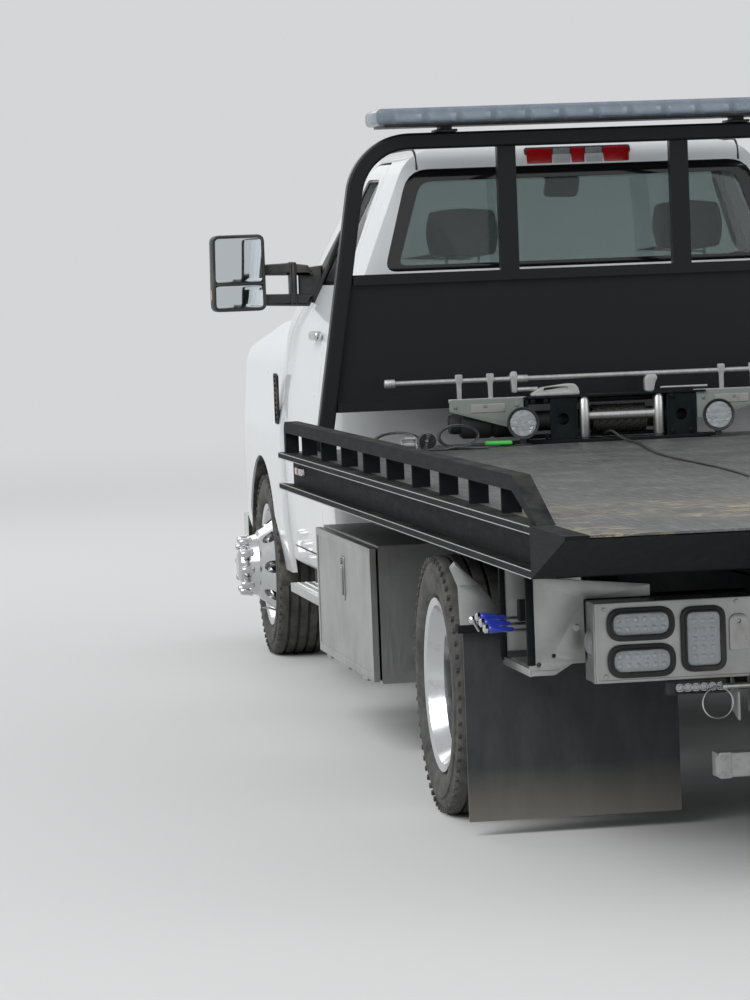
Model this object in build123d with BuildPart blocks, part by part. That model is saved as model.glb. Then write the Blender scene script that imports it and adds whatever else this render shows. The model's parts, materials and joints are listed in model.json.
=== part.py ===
from build123d import *

import os
from math import atan2, cos, degrees, hypot, radians, sin, tan

# A rollback carrier: a conventional-cab truck whose flat deck slides back and tilts to the ground.
# Millimetres, +X forward, +Y left, +Z up, the floor at Z = 0, the origin under the middle of the truck.

os.makedirs("parts", exist_ok=True)

# Running gear
wheelbase = 5410
front_overhang = 1000
tail_overhang = 2173
tyre_radius = 388
tyre_width = 226
rim_flange_radius = 261
rim_well_radius = 214
front_wheel_y = 900
dual_spacing = 250
rear_wheel_y = 1085
hub_bore_gap = 0.3
rear_axle_x = (tail_overhang - wheelbase - front_overhang) / 2
front_axle_x = rear_axle_x + wheelbase
inner_wheel_y = rear_wheel_y - dual_spacing
dual_middle_y = rear_wheel_y - dual_spacing / 2
axle_z = tyre_radius

# Ladder frame
rail_outer_y = 432
rail_flange = 76
rail_height = 230
rail_thickness = 9
rail_top_z = 735
rail_bottom_z = rail_top_z - rail_height
frame_front_x = front_axle_x + 880
frame_rear_x = rear_axle_x - 1060

# Deck and tilting subframe
deck_top_z = 961
deck_plate_thickness = 6
deck_half_width = 1219
deck_front_x = rear_axle_x + 3270
deck_tail_x = rear_axle_x - tail_overhang
wedge_start_x = rear_axle_x - 1716
side_channel_height = 137
side_channel_depth = 56
side_channel_web = 8
pivot_x = rear_axle_x - 1100
pivot_z = 772
pivot_pin_radius = 25
subframe_height = 117
subframe_gap = 8
subframe_front_x = rear_axle_x + 3180
slide_gap = 8
cross_member_depth = 70
cross_member_width = 44
cross_member_pitch = 330
wedge_angle = degrees(atan2(side_channel_height - 10, wedge_start_x - deck_tail_x))

# Cab, doors and tilting front
cab_back_x = front_axle_x - 2057
cab_bottom_z = 440
cab_floor_z = 790
firewall_x = front_axle_x - 678
windscreen_base_x = front_axle_x - 540
cab_half_width = 1004
roof_z = 2110
wall = 62
roof_wall = 48
door_thickness = 84
door_gap = 12
door_skin = 26
door_step = 38
door_front_x = front_axle_x - 722
door_rear_x = front_axle_x - 1690
nose_x = front_axle_x + 925
hood_wall = 32
hood_hinge_y = 412
hood_pin_radius = 7
arch_radius = 470
fender_half_width = 1075
hood_hinge_x = front_axle_x + 905
hood_hinge_z = 575
bumper_top_z = 560

# Bodywork round the deck
headboard_x = rear_axle_x + 3140
headboard_tube = 60
headboard_top_z = 2137
headboard_foot_y = 1066
headboard_lean = 0.16
headboard_plate_bottom_z = 1104
headboard_plate_top_z = 1611
headboard_plate_thickness = 6
headboard_post_y = 331
post_width = 70
rail_post_pitch = 500
rail_post_count = 9
first_post_x = rear_axle_x + 2885
rail_y = 1175
rail_top_height = 1078
rail_section_height = 42
rail_section_width = 50
toolbox_rear_x = rear_axle_x + 1498
toolbox_length = 1298
toolbox_bottom_z = 245
toolbox_top_z = 709
toolbox_outer_y = 1150
toolbox_inner_y = 700
toolbox_wall = 10
toolbox_door_thickness = 18
toolbox_door_gap = 8
light_box_x = rear_axle_x - 1118
light_box_depth = 140
light_box_outer_y = 934
light_box_inner_y = rail_outer_y + 20
light_box_bottom_z = 482
light_box_top_z = 702
flap_x = rear_axle_x - 538
flap_outer_y = 1198
flap_width = 622
flap_bottom_z = 43
flap_top_z = 600
flap_thickness = 10

# Wheel lift
boom_hinge_x = rear_axle_x - 300
boom_hinge_z = 470
boom_size = 120
boom_wall = 10
boom_middle_z = 252
boom_front_x = rear_axle_x - 235
boom_rear_x = rear_axle_x - 1050
stinger_gap = 3
stinger_rear_x = rear_axle_x - 1150
crossbar_half_width = 630
crossbar_x = rear_axle_x - 1205
crossbar_depth = 70
crossbar_bottom_z = 222
crossbar_top_z = 287
boom_pin_radius = 22

# Tilt cylinders
tilt_foot_x = rear_axle_x + 480
tilt_foot_z = 640
tilt_eye_x = rear_axle_x + 1440
tilt_eye_z = 771
tilt_y = 240
tilt_pin_radius = 20
tilt_barrel_radius = 48
tilt_rod_radius = 26
cross_member_height = 95

# Values that several pieces share
subframe_bottom_z = rail_top_z + subframe_gap
subframe_top_z = subframe_bottom_z + subframe_height
sill_bottom_z = subframe_top_z + slide_gap
deck_under_z = deck_top_z - deck_plate_thickness
deck_bottom_z = deck_top_z - side_channel_height
rail_inner_y = rail_outer_y - rail_flange
slide_rod_z = sill_bottom_z - 40
slide_barrel_radius = 36
slide_rod_radius = 22
toolbox_front_x = toolbox_rear_x + toolbox_length


def block(x0, x1, y0, y1, z0, z1):
    """A box between two corners."""
    with BuildPart() as piece:
        with Locations(((x0 + x1) / 2, (y0 + y1) / 2, (z0 + z1) / 2)):
            Box(x1 - x0, y1 - y0, z1 - z0)
    return piece.part


def prism(plane, corners, length):
    """An outline of (across, up, corner radius) rows, extruded along the plane's normal."""
    with BuildPart() as piece:
        with BuildSketch(plane):
            with BuildLine():
                FilletPolyline(*[row[:2] for row in corners], radius=[row[2] for row in corners], close=True)
            make_face()
        extrude(amount=length)
    return piece.part


def sharp(points):
    """Outline rows with no corner rounded."""
    return [(a, b, 0) for a, b in points]


def side_prism(corners, y0, y1):
    """An outline of (x, z, corner radius) rows, from y0 to y1."""
    return prism(Plane.XZ.offset(-y1), corners, y1 - y0)


def front_prism(corners, x0, x1):
    """An outline of (y, z, corner radius) rows, from x0 to x1."""
    return prism(Plane.YZ.offset(x0), corners, x1 - x0)


def plan_prism(corners, z0, z1):
    """An outline of (x, y, corner radius) rows, from z0 to z1."""
    return prism(Plane.XY.offset(z0), corners, z1 - z0)


def rod(start, end, radius):
    """A round bar between two points."""
    start, end = Vector(*start), Vector(*end)
    with BuildPart(Plane(origin=start, z_dir=end - start)) as piece:
        Cylinder(radius, (end - start).length, align=(Align.CENTER, Align.CENTER, Align.MIN))
    return piece.part


def beyond(start, end, distance):
    """The point that lies this far past the end of a line."""
    start, end = Vector(*start), Vector(*end)
    return tuple(end + (end - start).normalized() * distance)


def both_sides(part):
    """A left piece together with its mirrored right twin."""
    return [part, mirror(part, about=Plane.XZ)]


def symmetric(half):
    """The whole front outline of a half outline of (y, z, corner radius) rows, from bottom to top."""
    return half + [(-y, z, r) for y, z, r in reversed(half)]


def wheel_turn(centre_x, centre_y, rows, side):
    """A section of (outward from the wheel's middle, radius) rows, turned about the wheel's axle."""
    with BuildPart() as piece:
        with BuildSketch(Plane.YZ.offset(centre_x)):
            for section in rows:
                with BuildLine():
                    Polyline(*[(side * (centre_y + y), axle_z + r) for y, r in section], close=True)
                make_face()
        revolve(axis=Axis((centre_x, 0, axle_z), (0, 1, 0)))
    return piece.part


def save(piece, label):
    """Label a finished piece and write its STEP file."""
    piece.part.label = label
    export_step(piece.part, f"parts/{label}.step")


# Wheels: tyres, and rims pressed from one sheet with a dished disc and a hub that holds the bearings
bead_y = 88
tyre_section = [[
    (-bead_y, rim_flange_radius + 2), (-tyre_width / 2, 320), (-tyre_width / 2 + 8, 366), (-94, tyre_radius),
    (94, tyre_radius), (tyre_width / 2 - 8, 366), (tyre_width / 2, 320), (bead_y, rim_flange_radius + 2),
]]
barrel_section = [
    (-99, rim_flange_radius), (-91, rim_flange_radius), (-44, 226), (40, 226), (91, rim_flange_radius),
    (99, rim_flange_radius), (94, 238), (46, rim_well_radius), (-50, rim_well_radius), (-94, 238),
]
spindle_radius = 33
rear_spindle_radius = 45
front_hub_bore = spindle_radius + hub_bore_gap
rear_hub_bore = rear_spindle_radius + hub_bore_gap
front_disc_section = [
    (28, rim_well_radius + 4), (50, rim_well_radius + 4), (146, 146), (156, 132), (192, 122), (198, 74),
    (226, 66), (238, 44), (238, 0), (226, 0), (200, front_hub_bore), (40, front_hub_bore), (40, 70),
    (138, 70), (138, 130),
]
rear_disc_section = [
    (-50, rim_well_radius + 4), (-70, rim_well_radius + 4), (-124, 170), (-124, rear_hub_bore),
    (0, rear_hub_bore), (22, 0), (36, 0), (36, 60), (20, 78), (-60, 84), (-64, 128), (-112, 134), (-112, 166),
]
inner_disc_section = [
    (50, rim_well_radius + 4), (70, rim_well_radius + 4), (125, 170), (125, rear_hub_bore),
    (-30, rear_hub_bore), (-30, 80), (110, 80), (112, 164),
]
hand_hole_radius = 27
hand_hole_count = 8

for side, side_name in ((1, "left"), (-1, "right")):
    with BuildPart() as front_tyre:
        add(wheel_turn(front_axle_x, front_wheel_y, tyre_section, side))
    save(front_tyre, f"front_tyre_{side_name}")

    with BuildPart() as front_rim:
        add(wheel_turn(front_axle_x, front_wheel_y, [barrel_section, front_disc_section], side))
        with Locations(Plane((front_axle_x, side * (front_wheel_y + 20), axle_z), z_dir=(0, side, 0))):
            with PolarLocations(178, hand_hole_count):
                Cylinder(hand_hole_radius, 180, align=(Align.CENTER, Align.CENTER, Align.MIN),
                         mode=Mode.SUBTRACT)
    save(front_rim, f"front_rim_{side_name}")

    with BuildPart() as rear_tyres:
        for centre_y in (rear_wheel_y, inner_wheel_y):
            add(wheel_turn(rear_axle_x, centre_y, tyre_section, side))
    save(rear_tyres, f"rear_tyres_{side_name}")

    with BuildPart() as rear_rims:
        add(wheel_turn(rear_axle_x, rear_wheel_y, [barrel_section, rear_disc_section], side))
        add(wheel_turn(rear_axle_x, inner_wheel_y, [barrel_section, inner_disc_section], side))
    save(rear_rims, f"rear_rims_{side_name}")


# Front axle: a dropped I-beam on leaf springs, with a kingpin boss at each end
kingpin_y = 700
kingpin_radius = 18
boss_radius = 40
boss_bottom_z = axle_z - 62
boss_top_z = axle_z + 62
beam_top_z = axle_z - 44
beam_half_depth = 42
beam_depth = 96
knuckle_gap = 5
front_spring_y = 394
spring_width = 70
front_spring_half = 620

with BuildPart() as front_axle:
    add(side_prism(sharp([
        (front_axle_x - beam_half_depth, beam_top_z - beam_depth), (front_axle_x + beam_half_depth, beam_top_z - beam_depth),
        (front_axle_x + beam_half_depth, beam_top_z - beam_depth + 16), (front_axle_x + 9, beam_top_z - beam_depth + 24),
        (front_axle_x + 9, beam_top_z - 24), (front_axle_x + beam_half_depth, beam_top_z - 16),
        (front_axle_x + beam_half_depth, beam_top_z), (front_axle_x - beam_half_depth, beam_top_z),
        (front_axle_x - beam_half_depth, beam_top_z - 16), (front_axle_x - 9, beam_top_z - 24),
        (front_axle_x - 9, beam_top_z - beam_depth + 24), (front_axle_x - beam_half_depth, beam_top_z - beam_depth + 16),
    ]), -520, 520))
    for end in both_sides(front_prism(sharp([
            (500, beam_top_z - beam_depth), (540, beam_top_z - beam_depth), (645, boss_bottom_z + 12),
            (kingpin_y, boss_bottom_z + 12),
            (kingpin_y, boss_top_z - 10), (kingpin_y - 40, boss_top_z - 10), (560, beam_top_z),
            (500, beam_top_z)]), front_axle_x - 30, front_axle_x + 30)):
        add(end)
    for boss in both_sides(rod((front_axle_x, kingpin_y, boss_bottom_z),
                               (front_axle_x, kingpin_y, boss_top_z), boss_radius)):
        add(boss)
    for bore in both_sides(rod((front_axle_x, kingpin_y, boss_bottom_z - 1),
                               (front_axle_x, kingpin_y, boss_top_z + 1), kingpin_radius + hub_bore_gap)):
        add(bore, mode=Mode.SUBTRACT)
save(front_axle, "front_axle")

# Knuckles: a fork round the kingpin boss, the stub axle, a brake backing plate and a steering arm
arm_length = 180
arm_thickness = 20
knuckle_bottom_z = boss_bottom_z - knuckle_gap - arm_thickness
knuckle_top_z = boss_top_z + knuckle_gap + arm_thickness
for side, side_name in ((1, "left"), (-1, "right")):
    with BuildPart() as knuckle:
        half = front_prism(sharp([
            (kingpin_y - 34, knuckle_bottom_z), (kingpin_y + 80, knuckle_bottom_z),
            (kingpin_y + 80, knuckle_top_z), (kingpin_y - 34, knuckle_top_z),
            (kingpin_y - 34, boss_top_z + knuckle_gap), (kingpin_y + 50, boss_top_z + knuckle_gap),
            (kingpin_y + 50, boss_bottom_z - knuckle_gap), (kingpin_y - 34, boss_bottom_z - knuckle_gap),
        ]), front_axle_x - 46, front_axle_x + 46)
        pieces = [
            half,
            rod((front_axle_x, kingpin_y, knuckle_bottom_z), (front_axle_x, kingpin_y, knuckle_top_z),
                kingpin_radius),
            rod((front_axle_x, kingpin_y + 78, axle_z), (front_axle_x, front_wheel_y + 190, axle_z),
                spindle_radius),
            rod((front_axle_x, kingpin_y + 78, axle_z), (front_axle_x, kingpin_y + 90, axle_z), 186),
            plan_prism(sharp([
                (front_axle_x - arm_length - 24, kingpin_y - 24), (front_axle_x - 40, kingpin_y - 34),
                (front_axle_x - 40, kingpin_y + 40), (front_axle_x - arm_length - 24, kingpin_y + 24),
            ]), knuckle_bottom_z, knuckle_bottom_z + arm_thickness),
            rod((front_axle_x - arm_length, kingpin_y, knuckle_bottom_z - 40),
                (front_axle_x - arm_length, kingpin_y, knuckle_bottom_z + 1), 11),
        ]
        for piece in pieces:
            add(piece if side == 1 else mirror(piece, about=Plane.XZ))
    save(knuckle, f"knuckle_{side_name}")

# Tie rod: a straight bar whose ends sit on the steering arms' studs
tie_rod_z = knuckle_bottom_z - 22
with BuildPart() as tie_rod:
    add(rod((front_axle_x - arm_length, -kingpin_y, tie_rod_z),
            (front_axle_x - arm_length, kingpin_y, tie_rod_z), 14))
    for end in both_sides(rod((front_axle_x - arm_length, kingpin_y, tie_rod_z - 17),
                              (front_axle_x - arm_length, kingpin_y, tie_rod_z + 17), 26)):
        add(end)
    for bore in both_sides(rod((front_axle_x - arm_length, kingpin_y, tie_rod_z - 18),
                               (front_axle_x - arm_length, kingpin_y, tie_rod_z + 18), 11 + hub_bore_gap)):
        add(bore, mode=Mode.SUBTRACT)
save(tie_rod, "tie_rod")

# Rear axle: a banjo housing with a round cover, and a spindle inside each pair of hubs
rear_tube_radius = 62
nose_radius = 70
nose_root = (rear_axle_x + 110, 0, axle_z)
nose_tip = (rear_axle_x + 300, 0, axle_z + 12)
with BuildPart() as rear_axle:
    add(rod((rear_axle_x, -700, axle_z), (rear_axle_x, 700, axle_z), rear_tube_radius))
    add(rod((rear_axle_x, -dual_middle_y - 110, axle_z), (rear_axle_x, dual_middle_y + 110, axle_z),
            rear_spindle_radius))
    add(rod((rear_axle_x - 120, 0, axle_z), (rear_axle_x + 130, 0, axle_z), 185))
    add(rod((rear_axle_x - 165, 0, axle_z), (rear_axle_x - 110, 0, axle_z), 140))
    add(rod(nose_root, nose_tip, nose_radius))
    for plate in both_sides(rod((rear_axle_x, 668, axle_z), (rear_axle_x, 684, axle_z), 180)):
        add(plate)
save(rear_axle, "rear_axle")

# Leaf springs: packs of leaves that grow shorter downwards
rear_spring_y = 500
front_leaf = 11
front_leaf_count = 4
rear_leaf = 13
rear_leaf_count = 6
bolt_radius = 8
bolt_gap = 2
with BuildPart() as leaf_springs:
    for axle_x, inner_y, half_length, seat_z, leaf, count in (
            (front_axle_x, front_spring_y, front_spring_half, beam_top_z, front_leaf, front_leaf_count),
            (rear_axle_x, rear_spring_y, 720, axle_z + rear_tube_radius, rear_leaf, rear_leaf_count)):
        for number in range(count):
            reach = half_length * (1 - 0.16 * (count - 1 - number))
            rise = 0.075 * reach
            low = seat_z + leaf * number
            pack = side_prism(sharp([
                (axle_x - reach, low + rise), (axle_x - reach / 2, low + rise * 0.3), (axle_x - 60, low),
                (axle_x + 60, low), (axle_x + reach / 2, low + rise * 0.3), (axle_x + reach, low + rise),
                (axle_x + reach, low + rise + leaf), (axle_x + reach / 2, low + rise * 0.3 + leaf),
                (axle_x + 60, low + leaf), (axle_x - 60, low + leaf),
                (axle_x - reach / 2, low + rise * 0.3 + leaf), (axle_x - reach, low + rise + leaf),
            ]), inner_y, inner_y + spring_width)
            for leaf_piece in both_sides(pack):
                add(leaf_piece)
    for axle_x, inner_y, half_axle, axle_bottom_z, pack_top_z in (
            (front_axle_x, front_spring_y, beam_half_depth, beam_top_z - beam_depth,
             beam_top_z + front_leaf_count * front_leaf),
            (rear_axle_x, rear_spring_y, rear_tube_radius, axle_z - rear_tube_radius,
             axle_z + rear_tube_radius + rear_leaf_count * rear_leaf)):
        bolt_x = half_axle + bolt_radius + bolt_gap
        outer_y = inner_y + spring_width
        clamp = [block(axle_x - bolt_x - 16, axle_x + bolt_x + 16, inner_y - 22, outer_y + 22, pack_top_z, pack_top_z + 12),
                 block(axle_x - bolt_x - 16, axle_x + bolt_x + 16, inner_y - 22, outer_y + 22,
                       axle_bottom_z - bolt_gap - 12, axle_bottom_z - bolt_gap)]
        for bolt_y in (inner_y - bolt_radius - bolt_gap, outer_y + bolt_radius + bolt_gap):
            for x in (axle_x - bolt_x, axle_x + bolt_x):
                clamp.append(rod((x, bolt_y, axle_bottom_z - 34), (x, bolt_y, pack_top_z + 24), bolt_radius))
        for piece in clamp:
            for twin in both_sides(piece):
                add(twin)
save(leaf_springs, "leaf_springs")

# Ladder frame: channel rails with cross-members, and at the rear the ears that carry the deck's pivot
ear_height = 66
with BuildPart() as chassis_frame:
    channel = front_prism(sharp([
        (rail_outer_y, rail_bottom_z), (rail_outer_y, rail_top_z), (rail_inner_y, rail_top_z),
        (rail_inner_y, rail_top_z - rail_thickness), (rail_outer_y - rail_thickness, rail_top_z - rail_thickness),
        (rail_outer_y - rail_thickness, rail_bottom_z + rail_thickness), (rail_inner_y, rail_bottom_z + rail_thickness),
        (rail_inner_y, rail_bottom_z)]), frame_rear_x, frame_front_x)
    for channel_piece in both_sides(channel):
        add(channel_piece)
    for cross_x in (front_axle_x + 820, front_axle_x - 1300, front_axle_x - 2400, rear_axle_x + 1600,
                    rear_axle_x + 300, rear_axle_x - 330, rear_axle_x - 1020):
        add(block(cross_x - 30, cross_x + 30, -rail_outer_y + 5, rail_outer_y - 5,
                  rail_top_z - cross_member_height, rail_top_z - rail_thickness))
    add(rod((tilt_foot_x, -rail_outer_y + 5, tilt_foot_z), (tilt_foot_x, rail_outer_y - 5, tilt_foot_z), tilt_pin_radius))
    for hanger in both_sides(side_prism([
            (boom_hinge_x - 130, rail_top_z - 20, 0), (boom_hinge_x + 120, rail_top_z - 20, 0),
            (boom_hinge_x + 50, boom_hinge_z - 46, 44), (boom_hinge_x - 50, boom_hinge_z - 46, 44)],
            boom_size / 2 + 22, boom_size / 2 + 36)):
        add(hanger)
    add(rod((boom_hinge_x, -boom_size / 2 - 40, boom_hinge_z), (boom_hinge_x, boom_size / 2 + 40, boom_hinge_z),
            boom_pin_radius))
    for inner_y in (rail_inner_y - 20, rail_outer_y + 2):
        ear = side_prism([
            (frame_rear_x + 200, rail_bottom_z + 20, 0), (frame_rear_x + 200, rail_top_z - 20, 0),
            (pivot_x + 52, pivot_z + 36, 30), (pivot_x - 44, pivot_z + 36, 40), (pivot_x - 44, pivot_z - 60, 30),
            (frame_rear_x, rail_bottom_z + 20, 0)], inner_y, inner_y + 14)
        for ear_piece in both_sides(ear):
            add(ear_piece)
    for pin in both_sides(rod((pivot_x, rail_inner_y - 24, pivot_z), (pivot_x, rail_outer_y + 22, pivot_z),
                              pivot_pin_radius)):
        add(pin)
    for spacer in both_sides(block(frame_rear_x, frame_rear_x + 190, rail_inner_y - 10, rail_outer_y - 6,
                                   rail_bottom_z + 20, rail_bottom_z + 60)):
        add(spacer)
    for spacer in both_sides(block(frame_rear_x, frame_rear_x + 190, rail_outer_y - 4, rail_outer_y + 4,
                                   rail_bottom_z + 20, rail_bottom_z + 140)):
        add(spacer)
    for side in (1, -1):
        low_y, high_y = sorted((side * (hood_hinge_y - 34), side * (hood_hinge_y + 34)))
        add(block(frame_front_x, frame_front_x + 6, low_y, high_y, hood_hinge_z - 24, hood_hinge_z + 24))
        for lug_y in (hood_hinge_y - 28, hood_hinge_y + 16):
            low_y, high_y = sorted((side * lug_y, side * (lug_y + 12)))
            add(side_prism([
                (frame_front_x, hood_hinge_z - 14, 0), (hood_hinge_x + 14, hood_hinge_z - 14, 13),
                (hood_hinge_x + 14, hood_hinge_z + 14, 13), (frame_front_x, hood_hinge_z + 14, 0)], low_y, high_y))
        add(rod((hood_hinge_x, side * (hood_hinge_y - 30), hood_hinge_z),
                (hood_hinge_x, side * (hood_hinge_y + 30), hood_hinge_z), hood_pin_radius))
save(chassis_frame, "chassis_frame")

# Front bumper: a folded steel face with raked ends and a turned-in top and bottom
bumper_bottom_z = 385
bumper_half_width = 1060
with BuildPart() as front_bumper:
    add(plan_prism([
        (front_axle_x + 948, bumper_half_width - 20, 0), (front_axle_x + 948, -bumper_half_width + 20, 0),
        (front_axle_x + 700, -bumper_half_width, 0), (front_axle_x + 700, -bumper_half_width - 12, 0),
        (front_axle_x + 950, -bumper_half_width - 5, 60), (front_axle_x + front_overhang, -bumper_half_width + 240, 120),
        (front_axle_x + front_overhang, bumper_half_width - 240, 120), (front_axle_x + 950, bumper_half_width + 5, 60),
        (front_axle_x + 700, bumper_half_width + 12, 0), (front_axle_x + 700, bumper_half_width, 0),
    ], bumper_bottom_z, bumper_top_z))
    add(block(front_axle_x + 940, front_axle_x + 1010, -330, 330, bumper_bottom_z + 40, bumper_bottom_z + 120),
        mode=Mode.SUBTRACT)
    for lamp_hole in both_sides(block(front_axle_x + 900, front_axle_x + 1010, 560, 740, bumper_bottom_z + 50,
                                      bumper_bottom_z + 120)):
        add(lamp_hole, mode=Mode.SUBTRACT)
    for bracket in both_sides(block(frame_front_x, front_axle_x + 952, rail_inner_y, rail_outer_y,
                                    bumper_bottom_z + 130, bumper_top_z - 20)):
        add(bracket)
save(front_bumper, "front_bumper")

# Engine as one plain block, with the radiator in front and the gearbox behind
engine_bottom_z = 600
gearbox_front = (front_axle_x - 340, 0, 614)
gearbox_rear = (front_axle_x - 1120, 0, 574)
with BuildPart() as powertrain:
    add(block(front_axle_x - 380, front_axle_x + 420, -290, 290, engine_bottom_z, 1140))
    add(block(front_axle_x + 560, front_axle_x + 640, -370, 370, rail_top_z + 10, 1240))
    add(block(front_axle_x + 400, front_axle_x + 570, -90, 90, 760, 900))
    add(rod(gearbox_front, gearbox_rear, 125))
save(powertrain, "powertrain")

# Drive shaft: a tube between the joints at the gearbox and at the rear axle's nose
shaft_joint_length = 70
front_joint = beyond(gearbox_front, gearbox_rear, shaft_joint_length)
rear_joint = beyond(nose_root, nose_tip, shaft_joint_length)
with BuildPart() as drive_shaft:
    add(rod(gearbox_rear, front_joint, nose_radius))
    add(rod(front_joint, rear_joint, 46))
    add(rod(nose_tip, rear_joint, nose_radius))
save(drive_shaft, "drive_shaft")

# Tanks: the fuel tank under the cab's right side and the hydraulic tank ahead of the left rear wheels
with BuildPart() as tanks:
    add(front_prism([(-860, 330, 60), (-470, 330, 60), (-470, 545, 60), (-860, 545, 60)],
                    front_axle_x - 2000, front_axle_x - 1100))
    add(rod((rear_axle_x + 800, 780, 480), (rear_axle_x + 1400, 780, 480), 130))
    for strap_x in (rear_axle_x + 950, rear_axle_x + 1250):
        add(block(strap_x - 20, strap_x + 20, rail_outer_y, 780, 540, 612))
save(tanks, "tanks")

# Exhaust: pipe, silencer and tail pipe along the left of the frame
silencer_y = 640
silencer_z = 430
with BuildPart() as exhaust:
    with BuildLine():
        FilletPolyline((front_axle_x - 250, 230, engine_bottom_z), (front_axle_x - 250, 230, silencer_z),
                       (front_axle_x - 620, 250, silencer_z), (front_axle_x - 1100, silencer_y, silencer_z),
                       (front_axle_x - 1200, silencer_y, silencer_z), radius=[90, 110, 60])
    with BuildSketch(Plane((front_axle_x - 250, 230, engine_bottom_z), z_dir=(0, 0, -1))):
        Circle(45)
    sweep()
    add(rod((front_axle_x - 1190, silencer_y, silencer_z), (front_axle_x - 1950, silencer_y, silencer_z), 105))
    add(rod((front_axle_x - 1940, silencer_y, silencer_z), (front_axle_x - 2560, silencer_y, silencer_z), 45))
save(exhaust, "exhaust")


# Cab: the crossing of a front outline, a side outline and a plan outline
cab_front_half = [
    (rail_outer_y + 30, rail_top_z + 12, 0), (500, 640, 30), (862, 600, 30), (900, cab_bottom_z, 0),
    (975, cab_bottom_z, 30), (cab_half_width, 700, 200), (cab_half_width, 1180, 260), (930, 1560, 120),
    (712, 2075, 90), (420, roof_z, 300),
]
cab_side = [
    (cab_back_x, cab_bottom_z, 20), (cab_back_x, 1540, 1500), (cab_back_x + 50, 2060, 60),
    (cab_back_x + 130, roof_z, 60), (front_axle_x - 1150, roof_z + 6, 120),
    (front_axle_x - 1060, 2086, 60), (windscreen_base_x, 1500, 30), (firewall_x, 1200, 0),
    (firewall_x, cab_bottom_z, 0),
]
plan_overrun = 8
cab_plan = [
    (cab_back_x - plan_overrun, -1010, 120), (windscreen_base_x + 20, -1010, 0),
    (windscreen_base_x + 20, 1010, 0), (cab_back_x - plan_overrun, 1010, 120),
]
cavity_front_half = [
    (cab_half_width - door_thickness, cab_floor_z, 0), (cab_half_width - door_thickness, 1180, 260),
    (930 - door_thickness, 1545, 120), (712 - 60, 2010, 80), (400, roof_z - roof_wall, 200),
]
cavity_side = [
    (cab_back_x + wall, cab_floor_z, 20), (cab_back_x + wall, 1535, 1500),
    (cab_back_x + 50 + wall, 2030, 50), (cab_back_x + 190, roof_z - roof_wall, 60),
    (front_axle_x - 1180, roof_z - roof_wall + 4, 60), (front_axle_x - 1130, 2060, 30),
    (windscreen_base_x - 105, 1490, 20), (firewall_x - wall, 1200, 0), (firewall_x - wall, cab_floor_z, 0),
]
door_bottom_z = 520
door_sill_z = 1500
door_outline = [
    (door_front_x, door_bottom_z, 30), (door_rear_x, door_bottom_z, 60), (door_rear_x, 1500, 60),
    (door_rear_x + 60, 2040, 70), (front_axle_x - 1215, 2046, 60), (front_axle_x - 790, 1560, 40),
    (door_front_x, 1360, 20),
]
door_window = [
    (door_rear_x + 92, door_sill_z + 65, 40), (door_rear_x + 125, 1972, 50), (front_axle_x - 1250, 1976, 40),
    (front_axle_x - 930, door_sill_z + 65, 40),
]


def grown(corners, amount):
    """The same outline with each side moved outwards by one amount, worked out at the corners."""
    with BuildSketch() as ring:
        with BuildLine():
            Polyline(*[row[:2] for row in corners], close=True)
        make_face()
        offset(amount=amount, kind=Kind.INTERSECTION)
    points = [Vector(v) for v in ring.vertices()]
    rows = []
    for a, b, radius in corners:
        near = min(points, key=lambda p: hypot(p.X - a, p.Y - b))
        rows.append((near.X, near.Y, max(radius + amount, 0)))
    return rows


def cab_solid():
    """The cab's closed outer form."""
    with BuildPart() as piece:
        add(front_prism(symmetric(cab_front_half), cab_back_x - 10, windscreen_base_x + 10))
        add(side_prism(cab_side, -1100, 1100), mode=Mode.INTERSECT)
        add(plan_prism(cab_plan, cab_bottom_z - 50, roof_z + 50), mode=Mode.INTERSECT)
    return piece.part


def cab_cavity():
    """The space inside the cab and its doors."""
    with BuildPart() as piece:
        add(front_prism(symmetric(cavity_front_half), cab_back_x, windscreen_base_x + 10))
        add(side_prism(cavity_side, -1100, 1100), mode=Mode.INTERSECT)
    return piece.part


windscreen_base = Vector(windscreen_base_x, 0, 1500)
windscreen_top = Vector(front_axle_x - 1060, 0, 2086)
windscreen_plane = Plane(origin=(windscreen_base + windscreen_top) / 2, x_dir=(0, 1, 0),
                         z_dir=(windscreen_base.Z - windscreen_top.Z, 0, windscreen_top.X - windscreen_base.X))
screen_half = [(830, -340, 60), (640, 318, 60)]
rear_window_half = [(748, 1640, 60), (632, 2000, 60)]
rear_window_x = cab_back_x + 30
glass_thickness = 8
glass_gap = 1

handle_length = 185
handle_z = 1385
handle_stand_off = 24


def door_space(gap, depth_gap):
    """The door's outline with a gap round it, as deep as the door, from floor to roof."""
    with BuildPart() as piece:
        add(side_prism(grown(door_outline, gap), 560, 1100))
        add(block(door_rear_x - 50, door_front_x + 50, 500, cab_half_width - door_thickness - depth_gap,
                  cab_bottom_z, cab_floor_z), mode=Mode.SUBTRACT)
    return piece.part


with BuildPart() as cab_shell:
    add(cab_solid())
    add(cab_cavity(), mode=Mode.SUBTRACT)
    for opening in both_sides(door_space(door_gap, door_gap)):
        add(opening, mode=Mode.SUBTRACT)
    add(front_prism(symmetric(rear_window_half), cab_back_x - 50, cab_back_x + 300), mode=Mode.SUBTRACT)
    add(prism(windscreen_plane.offset(-130), symmetric(screen_half), 260), mode=Mode.SUBTRACT)
save(cab_shell, "cab_shell")

with BuildPart() as cab_glass:
    add(front_prism(grown(symmetric(rear_window_half), -glass_gap), rear_window_x, rear_window_x + glass_thickness))
    add(prism(windscreen_plane.offset(-18), grown(symmetric(screen_half), -glass_gap), glass_thickness))
save(cab_glass, "cab_glass")


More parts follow.
